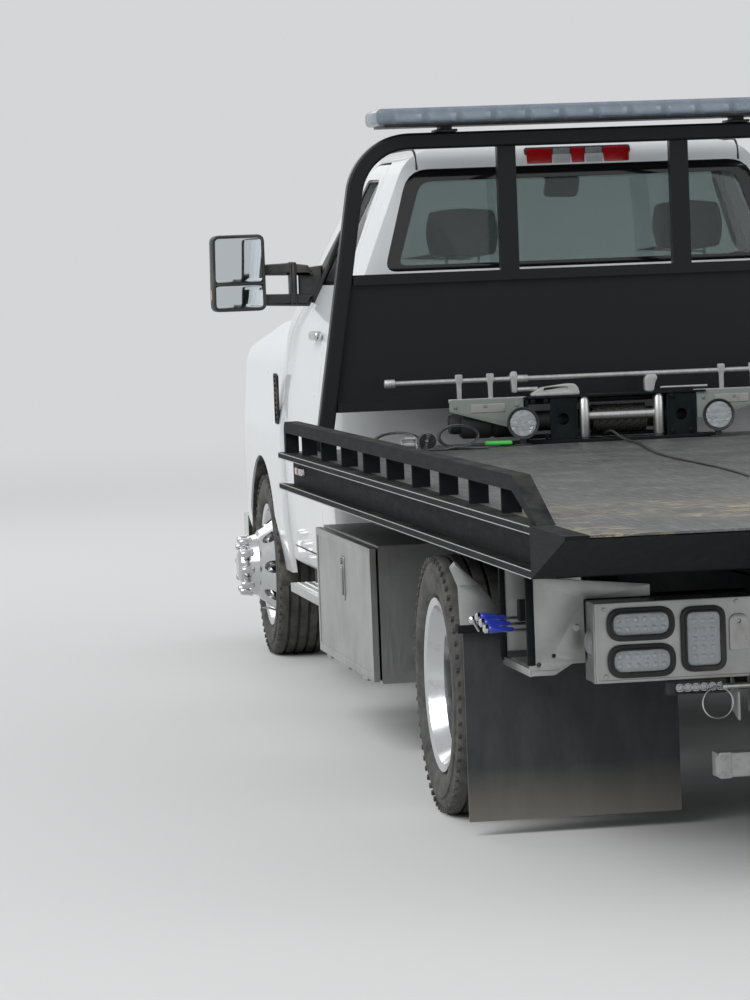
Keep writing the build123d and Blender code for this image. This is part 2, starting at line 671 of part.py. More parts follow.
def door_handle():
    """The left door's pull handle, standing off the skin and following its curve."""
    with BuildPart() as piece:
        add(Pos(0, handle_stand_off, 0) * cab_solid())
        add(side_prism([
            (door_rear_x + 50, handle_z - 17, 15), (door_rear_x + 50 + handle_length, handle_z - 17, 15),
            (door_rear_x + 50 + handle_length, handle_z + 17, 15), (door_rear_x + 50, handle_z + 17, 15)],
            700, 1100), mode=Mode.INTERSECT)
        add(cab_solid(), mode=Mode.SUBTRACT)
    return piece.part


def door_panel():
    """The left door: a skin out to the gap, and a body that is smaller all round, so that it swings clear."""
    with BuildPart() as body:
        add(cab_solid())
        add(side_prism(grown(door_outline, -door_step), 560, 1100), mode=Mode.INTERSECT)
        add(door_space(0, 0), mode=Mode.INTERSECT)
        add(cab_cavity(), mode=Mode.SUBTRACT)
    with BuildPart() as piece:
        add(cab_solid())
        add(side_prism(door_outline, 560, 1100), mode=Mode.INTERSECT)
        add(Pos(0, -door_skin, 0) * cab_solid(), mode=Mode.SUBTRACT)
        add(body.part)
        add(side_prism(door_window, 500, 1100), mode=Mode.SUBTRACT)
        add(door_handle())
    return piece.part


# Doors, with the window cut and the glass set in the door's middle
for side, side_name in ((1, "left"), (-1, "right")):
    with BuildPart() as door:
        add(door_panel() if side == 1 else mirror(door_panel(), about=Plane.XZ))
    save(door, f"door_{side_name}")

    with BuildPart() as door_glass:
        sheet = front_prism(sharp([
            (side * 916, door_sill_z + 40), (side * 908, door_sill_z + 40),
            (side * 697, 2010), (side * 705, 2010)]), door_rear_x - 10, door_front_x)
        add(sheet)
        add(side_prism(grown(door_window, -glass_gap), -1100, 1100), mode=Mode.INTERSECT)
    save(door_glass, f"door_glass_{side_name}")

# Towing mirrors: a tall head on two arms
mirror_x = front_axle_x - 1000
for side, side_name in ((1, "left"), (-1, "right")):
    with BuildPart() as mirror_head:
        pieces = [
            front_prism([(1100, 1486, 30), (1318, 1486, 30), (1314, 1794, 30), (1100, 1794, 30)],
                        mirror_x - 60, mirror_x + 60),
            rod((mirror_x + 60, 900, 1470), (mirror_x + 10, 1130, 1540), 18),
            rod((mirror_x + 60, 900, 1500), (mirror_x + 10, 1130, 1650), 18),
            front_prism([(900, 1440, 0), (985, 1440, 16), (965, 1530, 16), (880, 1530, 0)],
                        mirror_x + 20, mirror_x + 150),
        ]
        for piece in pieces:
            add(piece if side == 1 else mirror(piece, about=Plane.XZ))
        add(cab_solid(), mode=Mode.SUBTRACT)
    save(mirror_head, f"mirror_{side_name}")

# Seats: two plain cushions with backs and head restraints
with BuildPart() as seats:
    for middle_y in (-430, 430):
        add(side_prism([
            (cab_back_x + 230, 930, 40), (cab_back_x + 700, 950, 60), (cab_back_x + 700, 1080, 60),
            (cab_back_x + 300, 1060, 30), (cab_back_x + 200, 1660, 40), (cab_back_x + 90, 1660, 40)],
            middle_y - 250, middle_y + 250))
        add(side_prism([
            (cab_back_x + 110, 1650, 0), (cab_back_x + 190, 1650, 0), (cab_back_x + 185, 1850, 40),
            (cab_back_x + 100, 1850, 40)], middle_y - 130, middle_y + 130))
        add(block(cab_back_x + 270, cab_back_x + 670, middle_y - 200, middle_y + 200, cab_floor_z, 960))
save(seats, "seats")

# Dashboard with the steering column and wheel on the left
steering_wheel_radius = 200
with BuildPart() as dashboard:
    add(side_prism([
        (firewall_x - wall - 1, 950, 0), (firewall_x - wall - 1, 1200, 0), (firewall_x - 20, 1400, 0),
        (firewall_x - 200, 1440, 60), (firewall_x - 300, 1360, 60), (firewall_x - 180, 1000, 60),
        (firewall_x - 160, 950, 0)], -790, 790))
    column = Plane((firewall_x - 480, 430, 1390), z_dir=(-0.8, 0, 0.6))
    add(rod((firewall_x - 200, 430, 1180), (firewall_x - 480, 430, 1390), 36))
    with BuildSketch(Plane(origin=column.origin, x_dir=column.x_dir, z_dir=column.y_dir)):
        with Locations((steering_wheel_radius, 0)):
            RegularPolygon(15, 6)
    revolve(axis=Axis(column.origin, column.z_dir))
    with Locations(column):
        Cylinder(60, 40)
        for spoke in (0, 120, 240):
            with Locations(Rotation(0, 0, spoke)):
                with Locations((steering_wheel_radius / 2, 0, 0)):
                    Box(steering_wheel_radius, 34, 16)
save(dashboard, "dashboard")

# Steps under the doors, each on two brackets from the frame
step_z = 342
with BuildPart() as cab_steps:
    for step in both_sides(front_prism(sharp([
            (880, step_z), (1076, step_z), (1076, step_z + 30), (1068, step_z + 30), (1068, step_z + 8),
            (888, step_z + 8), (888, step_z + 30), (880, step_z + 30)]),
            front_axle_x - 1760, front_axle_x - 960)):
        add(step)
    for step in both_sides(block(front_axle_x - 1760, front_axle_x - 960, 888, 1068, step_z + 22, step_z + 30)):
        add(step)
    for bracket_x in (front_axle_x - 1660, front_axle_x - 1060):
        for bracket in both_sides(block(bracket_x - 20, bracket_x + 20, 905, 945, step_z + 30, cab_bottom_z)):
            add(bracket)
save(cab_steps, "cab_steps")


# Tilting front: hood, fenders and nose in one moulding, open below and behind
hood_front_half = [
    (1040, 395, 0), (fender_half_width, 620, 120), (fender_half_width, 980, 200), (1010, 1290, 180),
    (860, 1420, 90), (520, 1500, 200),
]
cowl_gap = 14
hood_rear_x = firewall_x + cowl_gap
hood_top_rear_x = windscreen_base_x + cowl_gap + 2
hood_side = [
    (hood_rear_x, 395, 0), (hood_rear_x, 1200, 0), (hood_top_rear_x, 1500, 0),
    (front_axle_x + 500, 1430, 500), (front_axle_x + 860, 1310, 120), (nose_x - 20, 1100, 200),
    (nose_x, 600, 20), (front_axle_x + 640, 600, 0), (front_axle_x + 560, 560, 0), (front_axle_x + 300, 395, 0),
]
hood_plan = [
    (hood_rear_x, -1080, 0), (front_axle_x + 500, -1080, 300), (front_axle_x + 820, -1010, 120),
    (nose_x, -880, 120), (nose_x + 10, 0, 0), (nose_x, 880, 120), (front_axle_x + 820, 1010, 120),
    (front_axle_x + 500, 1080, 300), (hood_rear_x, 1080, 0),
]
grille_half_width = 560
grille_bottom_z = 700
grille_top_z = 1190
lamp_inner_y = 600
lamp_outer_y = 860
lamp_bottom_z = 940
lamp_top_z = 1180


def hood_solid(inset):
    """The tilting front's form, moved inwards by the inset."""
    front_rows = [(y - inset, z - (inset if z > 1250 else 0), r) for y, z, r in hood_front_half]
    side_rows = [(x - (inset if x > front_axle_x + 600 else 0), z - (inset if z > 1000 else 0), r)
                 for x, z, r in hood_side]
    plan_rows = [(x - (inset if x > front_axle_x + 600 else 0), y - inset * (y > 0) + inset * (y < 0), r)
                 for x, y, r in hood_plan]
    if inset:
        front_rows[0] = (front_rows[0][0], 300, 0)
        side_rows = [(x - (20 if x in (hood_rear_x, hood_top_rear_x) else 0), z - (120 if z < 700 else 0), r)
                     for x, z, r in side_rows]
        plan_rows = [(x - (20 if x == hood_rear_x else 0), y, r) for x, y, r in plan_rows]
    with BuildPart() as piece:
        add(front_prism(symmetric(front_rows), hood_rear_x - 100, nose_x + 60))
        add(side_prism(side_rows, -1200, 1200), mode=Mode.INTERSECT)
        add(plan_prism(plan_rows, 250, 1700), mode=Mode.INTERSECT)
    return piece.part


grille_outline = [
    (grille_half_width - 60, grille_bottom_z, 40), (grille_half_width, grille_bottom_z + 120, 40),
    (grille_half_width, grille_top_z, 40),
]
with BuildPart() as hood_shell:
    add(hood_solid(0))
    add(hood_solid(hood_wall), mode=Mode.SUBTRACT)
    for arch in both_sides(rod((front_axle_x, 500, axle_z), (front_axle_x, 1300, axle_z), arch_radius)):
        add(arch, mode=Mode.SUBTRACT)
    add(front_prism(symmetric(grille_outline), front_axle_x + 700, nose_x + 50), mode=Mode.SUBTRACT)
    for lamp in both_sides(block(front_axle_x + 680, nose_x + 50, lamp_inner_y, lamp_outer_y, lamp_bottom_z,
                                 lamp_top_z)):
        add(lamp, mode=Mode.SUBTRACT)
    for side in (1, -1):
        low_y, high_y = sorted((side * (hood_hinge_y - 12), side * (hood_hinge_y + 12)))
        add(side_prism([
            (hood_hinge_x - 12, hood_hinge_z - 12, 11), (hood_hinge_x + 12, hood_hinge_z - 12, 11),
            (hood_hinge_x + 12, 622, 0), (hood_hinge_x - 12, 622, 0)], low_y, high_y))
        add(rod((hood_hinge_x, side * (hood_hinge_y - 40), hood_hinge_z),
                (hood_hinge_x, side * (hood_hinge_y + 40), hood_hinge_z), hood_pin_radius + hub_bore_gap),
            mode=Mode.SUBTRACT)
save(hood_shell, "hood_shell")

bar_count = 5
with BuildPart() as grille:
    face = [
        (nose_x - 12, grille_bottom_z + 2, 0), (nose_x - 36, 1100, 200), (nose_x - 62, grille_top_z - 2, 0),
        (nose_x - 92, grille_top_z - 2, 0), (nose_x - 66, 1100, 200), (nose_x - 42, grille_bottom_z + 2, 0)]
    add(side_prism(face, -grille_half_width, grille_half_width))
    add(front_prism(grown(symmetric(grille_outline), -2), front_axle_x + 700, nose_x + 50), mode=Mode.INTERSECT)
    slot = (grille_top_z - grille_bottom_z - 60) / bar_count
    for number in range(bar_count):
        low = grille_bottom_z + 40 + number * slot
        for span in both_sides(block(nose_x - 200, nose_x + 50, 20, grille_half_width - 80, low, low + slot - 32)):
            add(span, mode=Mode.SUBTRACT)
save(grille, "grille")

with BuildPart() as headlamps:
    for lamp in both_sides(block(front_axle_x + 700, nose_x + 20, lamp_inner_y + 2, lamp_outer_y - 2,
                                 lamp_bottom_z + 2, lamp_top_z - 2)):
        add(lamp)
    add(hood_solid(4), mode=Mode.INTERSECT)
save(headlamps, "headlamps")


# Subframe: two channels open outwards, cross-members, pivot bosses at the tail and lugs for the cylinders
tilt_eye_half = 28
tilt_eye_radius = 36
lug_gap = 5
lug_thickness = 14
lug_cross_x = tilt_eye_x + tilt_eye_radius + 90
with BuildPart() as tilt_subframe:
    section = front_prism(sharp([
        (rail_inner_y, subframe_bottom_z), (rail_outer_y, subframe_bottom_z),
        (rail_outer_y, subframe_bottom_z + 10), (rail_inner_y + 12, subframe_bottom_z + 10),
        (rail_inner_y + 12, subframe_top_z - 10), (rail_outer_y, subframe_top_z - 10),
        (rail_outer_y, subframe_top_z), (rail_inner_y, subframe_top_z)]), pivot_x - 50, subframe_front_x)
    for section_piece in both_sides(section):
        add(section_piece)
    for lug_y in (tilt_y - tilt_eye_half - lug_gap - lug_thickness, tilt_y + tilt_eye_half + lug_gap):
        for lug in both_sides(side_prism([
                (tilt_eye_x - 34, tilt_eye_z - 34, 33), (lug_cross_x, tilt_eye_z - 34, 0),
                (lug_cross_x, tilt_eye_z + 34, 0), (tilt_eye_x - 34, tilt_eye_z + 34, 33)],
                lug_y, lug_y + lug_thickness)):
            add(lug)
    for cross_x in (subframe_front_x - 40, rear_axle_x + 2300, lug_cross_x, rear_axle_x + 500,
                    rear_axle_x - 400):
        add(block(cross_x - 35, cross_x + 35, -rail_inner_y - 2, rail_inner_y + 2, subframe_bottom_z,
                  subframe_bottom_z + 28))
    for boss in both_sides(rod((pivot_x, rail_inner_y + 2, pivot_z), (pivot_x, rail_outer_y - 2, pivot_z), 45)):
        add(boss)
    for bore in both_sides(rod((pivot_x, rail_inner_y - 40, pivot_z), (pivot_x, rail_outer_y + 40, pivot_z),
                               pivot_pin_radius + hub_bore_gap)):
        add(bore, mode=Mode.SUBTRACT)
save(tilt_subframe, "tilt_subframe")

# Deck slide cylinder: a long barrel lying in the subframe, and its rod to a lug under the deck
barrel_front_x = subframe_front_x - 80
barrel_rear_x = rear_axle_x + 260
rod_eye_x = rear_axle_x + 120
with BuildPart() as slide_barrel:
    add(rod((barrel_front_x, 0, slide_rod_z), (barrel_rear_x, 0, slide_rod_z), slide_barrel_radius))
    add(rod((barrel_rear_x - 14, 0, slide_rod_z), (barrel_front_x - 120, 0, slide_rod_z),
            slide_rod_radius + hub_bore_gap), mode=Mode.SUBTRACT)
    add(block(barrel_front_x - 4, barrel_front_x + 44, -40, 40, subframe_bottom_z + 30, slide_rod_z + 30))
save(slide_barrel, "slide_barrel")

with BuildPart() as slide_rod:
    add(rod((rod_eye_x - 4, 0, slide_rod_z), (barrel_front_x - 160, 0, slide_rod_z), slide_rod_radius))
save(slide_rod, "slide_rod")

# Tilt cylinders: barrels pinned to the frame, rods pinned to the subframe
tilt_length = hypot(tilt_eye_x - tilt_foot_x, tilt_eye_z - tilt_foot_z)
tilt_along = Vector((tilt_eye_x - tilt_foot_x) / tilt_length, 0, (tilt_eye_z - tilt_foot_z) / tilt_length)
tilt_foot = Vector(tilt_foot_x, tilt_y, tilt_foot_z)
tilt_barrel_length = tilt_length - 90
with BuildPart() as tilt_barrels:
    barrel = [
        rod(tilt_foot + tilt_along * 40, tilt_foot + tilt_along * tilt_barrel_length, tilt_barrel_radius),
        rod(tilt_foot - Vector(0, 30, 0), tilt_foot + Vector(0, 30, 0), 44),
    ]
    for piece in barrel:
        for twin in both_sides(piece):
            add(twin)
    for twin in both_sides(rod(tilt_foot + tilt_along * 120, tilt_foot + tilt_along * (tilt_barrel_length + 2),
                               tilt_rod_radius + hub_bore_gap)):
        add(twin, mode=Mode.SUBTRACT)
    for twin in both_sides(rod(tilt_foot - Vector(0, 40, 0), tilt_foot + Vector(0, 40, 0),
                               tilt_pin_radius + hub_bore_gap)):
        add(twin, mode=Mode.SUBTRACT)
save(tilt_barrels, "tilt_barrels")

with BuildPart() as tilt_rods:
    eye = tilt_foot + tilt_along * tilt_length
    for twin in both_sides(rod(tilt_foot + tilt_along * 160, eye - tilt_along * 30, tilt_rod_radius)):
        add(twin)
    for radius, half in ((tilt_eye_radius, tilt_eye_half), (tilt_pin_radius, tilt_eye_half + lug_gap / 2)):
        for twin in both_sides(rod(eye - Vector(0, half, 0), eye + Vector(0, half, 0), radius)):
            add(twin)
save(tilt_rods, "tilt_rods")

# Deck frame: sills on the subframe, cross-members, side channels with toes outwards, and the tail wedge
web_y = deck_half_width - side_channel_depth
with BuildPart() as deck_frame:
    for sill in both_sides(block(wedge_start_x, deck_front_x - 8, rail_inner_y, rail_outer_y, sill_bottom_z,
                                 deck_under_z)):
        add(sill)
    cross_count = int((deck_front_x - 30 - wedge_start_x - cross_member_width / 2) / cross_member_pitch) + 1
    for number in range(cross_count):
        cross_x = deck_front_x - 30 - number * cross_member_pitch
        add(block(cross_x - cross_member_width / 2, cross_x + cross_member_width / 2, -web_y, web_y,
                  deck_under_z - cross_member_depth, deck_under_z))
    side = front_prism([
        (web_y - side_channel_web, deck_bottom_z, 0), (deck_half_width, deck_bottom_z, 6),
        (deck_half_width, deck_bottom_z + 22, 6), (web_y, deck_bottom_z + 16, 0),
        (web_y, deck_top_z - 16, 0), (deck_half_width, deck_top_z - 22, 6),
        (deck_half_width, deck_top_z, 6), (web_y - side_channel_web, deck_top_z, 0)],
        wedge_start_x, deck_front_x)
    for side_piece in both_sides(side):
        add(side_piece)
    for keeper_x in (deck_front_x - 200, rear_axle_x + 1500, rear_axle_x - 200, rear_axle_x - 900):
        for keeper in both_sides(front_prism(sharp([
                (rail_outer_y, sill_bottom_z + 12), (rail_outer_y, sill_bottom_z + 42),
                (rail_outer_y + 18, sill_bottom_z + 42), (rail_outer_y + 18, subframe_top_z - 30),
                (rail_outer_y - 24, subframe_top_z - 30), (rail_outer_y - 24, subframe_top_z - 18),
                (rail_outer_y + 8, subframe_top_z - 18), (rail_outer_y + 8, sill_bottom_z + 12)]),
                keeper_x - 60, keeper_x + 60)):
            add(keeper)
    add(block(rod_eye_x - 34, rod_eye_x - 4, -60, 60, slide_rod_z - 30, deck_under_z))
    add(block(rod_eye_x - 40, rod_eye_x + 4, -rail_inner_y - 2, rail_inner_y + 2,
              deck_under_z - cross_member_depth, deck_under_z))
save(deck_frame, "deck_frame")

# Tail wedge: tapering edge plates and ribs on a sloping underside
rib_count = 12
rib_pitch = 2 * web_y / rib_count
with BuildPart() as tail_wedge:
    wedge = sharp([
        (wedge_start_x, deck_bottom_z), (wedge_start_x, deck_under_z), (deck_tail_x + 6, deck_under_z),
        (deck_tail_x, deck_under_z - 4)])
    wedge_edge = sharp([
        (wedge_start_x, deck_bottom_z), (wedge_start_x, deck_top_z), (deck_tail_x, deck_top_z),
        (deck_tail_x, deck_under_z - 4)])
    for edge_piece in both_sides(side_prism(wedge_edge, web_y - side_channel_web, deck_half_width)):
        add(edge_piece)
    for number in range(1, rib_count):
        rib_y = -web_y + number * rib_pitch
        add(side_prism(wedge, rib_y - 6, rib_y + 6))
    add(side_prism(sharp([
        (wedge_start_x, deck_bottom_z), (wedge_start_x, deck_bottom_z + 8),
        (deck_tail_x + 20, deck_under_z), (deck_tail_x, deck_under_z - 4)]), -web_y, web_y))
    add(block(wedge_start_x - 8, wedge_start_x, -web_y + 8, web_y - 8, deck_bottom_z, deck_under_z))
save(tail_wedge, "tail_wedge")

with BuildPart() as deck_plate:
    add(block(deck_tail_x, deck_front_x, -web_y + side_channel_web, web_y - side_channel_web, deck_under_z,
              deck_top_z))
save(deck_plate, "deck_plate")

# Side rails: a rectangular tube on short plate posts, turned down at its front end and sloped at its tail
rail_centre_z = rail_top_height - rail_section_height / 2
rail_front_x = rear_axle_x + 3225
rail_bend_x = rear_axle_x - 1395
rail_end_x = rear_axle_x - 1690
post_thickness = 14
with BuildPart() as side_rails:
    bar = side_prism([
        (rail_front_x, deck_top_z, 0), (rail_front_x, rail_top_height, 40),
        (rail_bend_x, rail_top_height, 60), (rail_end_x - 30, deck_top_z, 0), (rail_end_x + 34, deck_top_z, 0),
        (rail_bend_x + 10, rail_top_height - rail_section_height, 40),
        (rail_front_x - 44, rail_top_height - rail_section_height, 20), (rail_front_x - 44, deck_top_z, 0)],
        rail_y - rail_section_width / 2, rail_y + rail_section_width / 2)
    for bar_piece in both_sides(bar):
        add(bar_piece)
    for number in range(rail_post_count):
        post_x = first_post_x - number * rail_post_pitch
        for post in both_sides(block(post_x - post_thickness / 2, post_x + post_thickness / 2, rail_y - 52,
                                     rail_y + 4, deck_top_z, rail_top_height - rail_section_height + 2)):
            add(post)
save(side_rails, "side_rails")

# Headboard: a bent tube frame with large top corners, two posts and a steel plate
top_centre_z = headboard_top_z - headboard_tube / 2
top_corner_y = headboard_foot_y - headboard_lean * (top_centre_z - deck_top_z)
corner_radius = 215
with BuildPart() as headboard:
    with BuildLine():
        FilletPolyline((headboard_x, headboard_foot_y, deck_top_z), (headboard_x, top_corner_y, top_centre_z),
                       (headboard_x, -top_corner_y, top_centre_z), (headboard_x, -headboard_foot_y, deck_top_z),
                       radius=[corner_radius, corner_radius])
    with BuildSketch(Plane((headboard_x, headboard_foot_y, deck_top_z), x_dir=(1, 0, 0),
                           z_dir=(0, top_corner_y - headboard_foot_y, top_centre_z - deck_top_z))):
        RectangleRounded(headboard_tube, headboard_tube, 10)
    sweep()
    add(block(headboard_x - 40, headboard_x + 40, -headboard_foot_y, headboard_foot_y, deck_top_z - 20, deck_top_z),
        mode=Mode.SUBTRACT)
save(headboard, "headboard")

plate_inset = headboard_tube / 2 * hypot(1, headboard_lean)
plate_bottom_y = headboard_foot_y - headboard_lean * (headboard_plate_bottom_z - deck_top_z) - plate_inset
plate_top_y = headboard_foot_y - headboard_lean * (headboard_plate_top_z - deck_top_z) - plate_inset
with BuildPart() as headboard_panel:
    for post in both_sides(block(headboard_x - 20, headboard_x + 20, headboard_post_y - post_width / 2,
                                 headboard_post_y + post_width / 2, headboard_plate_top_z - 20,
                                 headboard_top_z - headboard_tube)):
        add(post)
    add(front_prism(sharp([
        (plate_bottom_y, headboard_plate_bottom_z), (plate_top_y, headboard_plate_top_z),
        (-plate_top_y, headboard_plate_top_z), (-plate_bottom_y, headboard_plate_bottom_z)]),
        headboard_x - headboard_plate_thickness / 2, headboard_x + headboard_plate_thickness / 2))
    add(block(headboard_x - 22, headboard_x + 22, -plate_top_y + 2, plate_top_y - 2, headboard_plate_top_z - 34,
              headboard_plate_top_z + 4))
    add(block(headboard_x - 18, headboard_x + 18, -plate_bottom_y + 8, plate_bottom_y - 8,
              headboard_plate_bottom_z, headboard_plate_bottom_z + 36))
save(headboard_panel, "headboard_panel")

# Light bar on four feet along the headboard's top tube
light_bar_top_z = 2227
light_bar_half_width = 838
light_bar_depth = 300
foot_height = 22
with BuildPart() as light_bar:
    add(front_prism([
        (light_bar_half_width, headboard_top_z + foot_height, 14), (light_bar_half_width, light_bar_top_z, 20),
        (-light_bar_half_width, light_bar_top_z, 20), (-light_bar_half_width, headboard_top_z + foot_height, 14)],
        headboard_x - light_bar_depth / 2, headboard_x + light_bar_depth / 2))
    for foot_y in (-560, 560):
        add(block(headboard_x - 60, headboard_x + 60, foot_y - 40, foot_y + 40, headboard_top_z,
                  headboard_top_z + foot_height + 2))
save(light_bar, "light_bar")

# Winch: side plates with a drum between, fairlead rollers behind, and the free-spool rod along the top
winch_x = rear_axle_x + 3010
winch_plate_top_z = 1131
drum_x = winch_x + 34
drum_z = 1045
winding_radius = 53
with BuildPart() as winch:
    add(block(winch_x - 60, winch_x + 90, -420, 420, deck_top_z, deck_top_z + 12))
    for plate_y, width in ((318, 12), (132, 12), (-222, 12), (-322, 12)):
        add(block(winch_x - 50, winch_x + 80, plate_y - width / 2, plate_y + width / 2, deck_top_z, winch_plate_top_z))
    for inner_y, outer_y in ((132, 230), (-318, -222)):
        with BuildPart() as hole_plate:
            add(block(winch_x - 50, winch_x - 40, inner_y, outer_y, deck_top_z + 10, winch_plate_top_z))
            add(rod((winch_x - 60, (inner_y + outer_y) / 2, drum_z + 5), (winch_x - 30, (inner_y + outer_y) / 2, drum_z + 5),
                    22), mode=Mode.SUBTRACT)
        add(hole_plate.part)
    for low_y, high_y, radius in ((-318, 600, 38), (318, 560, 56), (-150, 60, winding_radius), (122, 130, 58),
                                  (-220, -212, 58)):
        add(rod((drum_x, low_y, drum_z), (drum_x, high_y, drum_z), radius))
    for tie_x, tie_z in ((winch_x + 68, winch_plate_top_z - 14), (winch_x + 68, deck_top_z + 24)):
        add(rod((tie_x, -318, tie_z), (tie_x, 318, tie_z), 8))
    for roller_y in (98, -186):
        add(rod((winch_x - 30, roller_y, deck_top_z + 10), (winch_x - 30, roller_y, winch_plate_top_z), 20))
    add(rod((winch_x - 20, -190, 1058), (winch_x - 20, 102, 1058), 18))
    add(block(winch_x - 55, winch_x + 85, -365, 330, winch_plate_top_z, winch_plate_top_z + 8))
    for cover in both_sides(front_prism(sharp([
            (330, winch_plate_top_z + 8), (610, winch_plate_top_z + 8), (611, 1094), (398, 1031), (330, 1031)]),
            winch_x - 46, winch_x - 40)):
        add(cover)
    add(rod((winch_x - 30, -849, 1208), (winch_x - 30, 849, 1208), 9))
    for cap_y in (-849, 809):
        add(rod((winch_x - 30, cap_y, 1208), (winch_x - 30, cap_y + 40, 1208), 16))
    for bracket_y in (-583, -462, 462, 583):
        add(block(winch_x - 40, winch_x - 32, bracket_y - 10, bracket_y + 10, winch_plate_top_z, 1228))
    add(block(winch_x - 40, winch_x - 32, -612, -320, winch_plate_top_z - 4, winch_plate_top_z + 8))
    add(block(winch_x - 40, winch_x - 32, 320, 612, winch_plate_top_z - 4, winch_plate_top_z + 8))
save(winch, "winch")

# Work lamps: round floodlights on stalks beside the winch
with BuildPart() as work_lamps:
    for lamp_y in (-400, 345):
        add(rod((winch_x - 110, lamp_y, 1044), (winch_x - 62, lamp_y, 1044), 60))
        add(block(winch_x - 96, winch_x - 80, lamp_y - 12, lamp_y + 12, deck_top_z, 1000))
save(work_lamps, "work_lamps")

# Toolboxes: hollow stainless boxes with an open outer face, and their bottom-hinged doors
box_face_y = toolbox_outer_y - toolbox_door_thickness - toolbox_door_gap
toolbox_hinge_y = toolbox_outer_y - 4
toolbox_hinge_z = toolbox_bottom_z + 1
toolbox_hinge_count = 3
knuckle_length = 32
knuckle_gap = 1.5
knuckle_radius = 5
with BuildPart() as toolboxes:
    outer = block(toolbox_rear_x, toolbox_front_x, toolbox_inner_y, box_face_y, toolbox_bottom_z, toolbox_top_z)
    inner = block(toolbox_rear_x + toolbox_wall, toolbox_front_x - toolbox_wall, toolbox_inner_y + toolbox_wall,
                  box_face_y + 1, toolbox_bottom_z + toolbox_wall, toolbox_top_z - toolbox_wall)
    for piece in both_sides(outer):
        add(piece)
    for piece in both_sides(inner):
        add(piece, mode=Mode.SUBTRACT)
    for strap_x in (toolbox_rear_x + 200, toolbox_front_x - 200):
        for piece in both_sides(block(strap_x - 30, strap_x + 30, rail_outer_y, toolbox_inner_y, 560, 640)):
            add(piece)
    for number in range(toolbox_hinge_count):
        hinge_x = toolbox_rear_x + toolbox_length * (number + 0.5) / toolbox_hinge_count
        for low_x in (hinge_x - 1.5 * knuckle_length - knuckle_gap, hinge_x + 0.5 * knuckle_length + knuckle_gap):
            for piece in (rod((low_x, toolbox_hinge_y, toolbox_hinge_z), (low_x + knuckle_length, toolbox_hinge_y,
                                                                         toolbox_hinge_z), knuckle_radius),
                          block(low_x, low_x + knuckle_length, box_face_y - 30, toolbox_hinge_y,
                                toolbox_bottom_z - 3, toolbox_bottom_z)):
                for twin in both_sides(piece):
                    add(twin)
save(toolboxes, "toolboxes")

for side, side_name in ((1, "left"), (-1, "right")):
    with BuildPart() as toolbox_door:
        door_low, door_high = toolbox_outer_y - toolbox_door_thickness, toolbox_outer_y
        low_y, high_y = sorted((side * door_low, side * door_high))
        add(block(toolbox_rear_x + 2, toolbox_front_x - 2, low_y, high_y, toolbox_bottom_z + 7, toolbox_top_z - 7))
        for number in range(toolbox_hinge_count):
            hinge_x = toolbox_rear_x + toolbox_length * (number + 0.5) / toolbox_hinge_count
            low_x, high_x = hinge_x - knuckle_length / 2, hinge_x + knuckle_length / 2
            add(rod((low_x, side * toolbox_hinge_y, toolbox_hinge_z), (high_x, side * toolbox_hinge_y, toolbox_hinge_z),
                    knuckle_radius))
            leaf_low, leaf_high = sorted((side * (door_high - 3), side * door_high))
            add(block(low_x, high_x, leaf_low, leaf_high, toolbox_hinge_z, toolbox_bottom_z + 20))
    save(toolbox_door, f"toolbox_door_{side_name}")

# Brackets behind the rear wheels: the mud-flap hangers and the control boxes
with BuildPart() as rear_brackets:
    hanger = side_prism([
        (flap_x + 12, 700, 10), (flap_x + 110, 800, 30), (flap_x + 150, 800, 10), (flap_x + 150, 760, 10),
        (flap_x + 80, flap_top_z, 10), (flap_x + 12, flap_top_z, 10)], 1120, 1126)
    control = block(rear_axle_x - 1000, rear_axle_x - 600, 1000, 1120, 500, 740)
    control_space = block(rear_axle_x - 1010, rear_axle_x - 610, 1010, 1130, 512, 728)
    carrier = block(flap_x + 12, flap_x + 52, rail_outer_y, 1120, flap_top_z, flap_top_z + 40)
    lip = block(flap_x + 12, flap_x + 52, 1060, 1190, flap_top_z, flap_top_z + 40)
    for piece in (hanger, control, carrier, lip):
        for twin in both_sides(piece):
            add(twin)
    for twin in both_sides(control_space):
        add(twin, mode=Mode.SUBTRACT)
    for twin in both_sides(block(rear_axle_x - 850, rear_axle_x - 810, rail_outer_y, 1001, 640, 700)):
        add(twin)
    for lever_x in (rear_axle_x - 760, rear_axle_x - 820, rear_axle_x - 880):
        for twin in both_sides(rod((lever_x, 1012, 655), (lever_x, 1216, 662), 9)):
            add(twin)
save(rear_brackets, "rear_brackets")

with BuildPart() as mud_flaps:
    for twin in both_sides(block(flap_x, flap_x + flap_thickness, flap_outer_y - flap_width, flap_outer_y,
                                 flap_bottom_z, flap_top_z + 40)):
        add(twin)
save(mud_flaps, "mud_flaps")

# Light boxes at the tail of the frame, and their lamps
with BuildPart() as light_boxes:
    box = block(light_box_x, light_box_x + light_box_depth, light_box_inner_y, light_box_outer_y,
                light_box_bottom_z, light_box_top_z)
    space = block(light_box_x + 6, light_box_x + light_box_depth + 1, light_box_inner_y + 6, light_box_outer_y - 6,
                  light_box_bottom_z + 6, light_box_top_z - 6)
    for twin in both_sides(box):
        add(twin)
    for twin in both_sides(space):
        add(twin, mode=Mode.SUBTRACT)
    for twin in both_sides(block(light_box_x + 60, light_box_x + 100, rail_outer_y + 16, light_box_inner_y + 8, 560, 680)):
        add(twin)
save(light_boxes, "light_boxes")

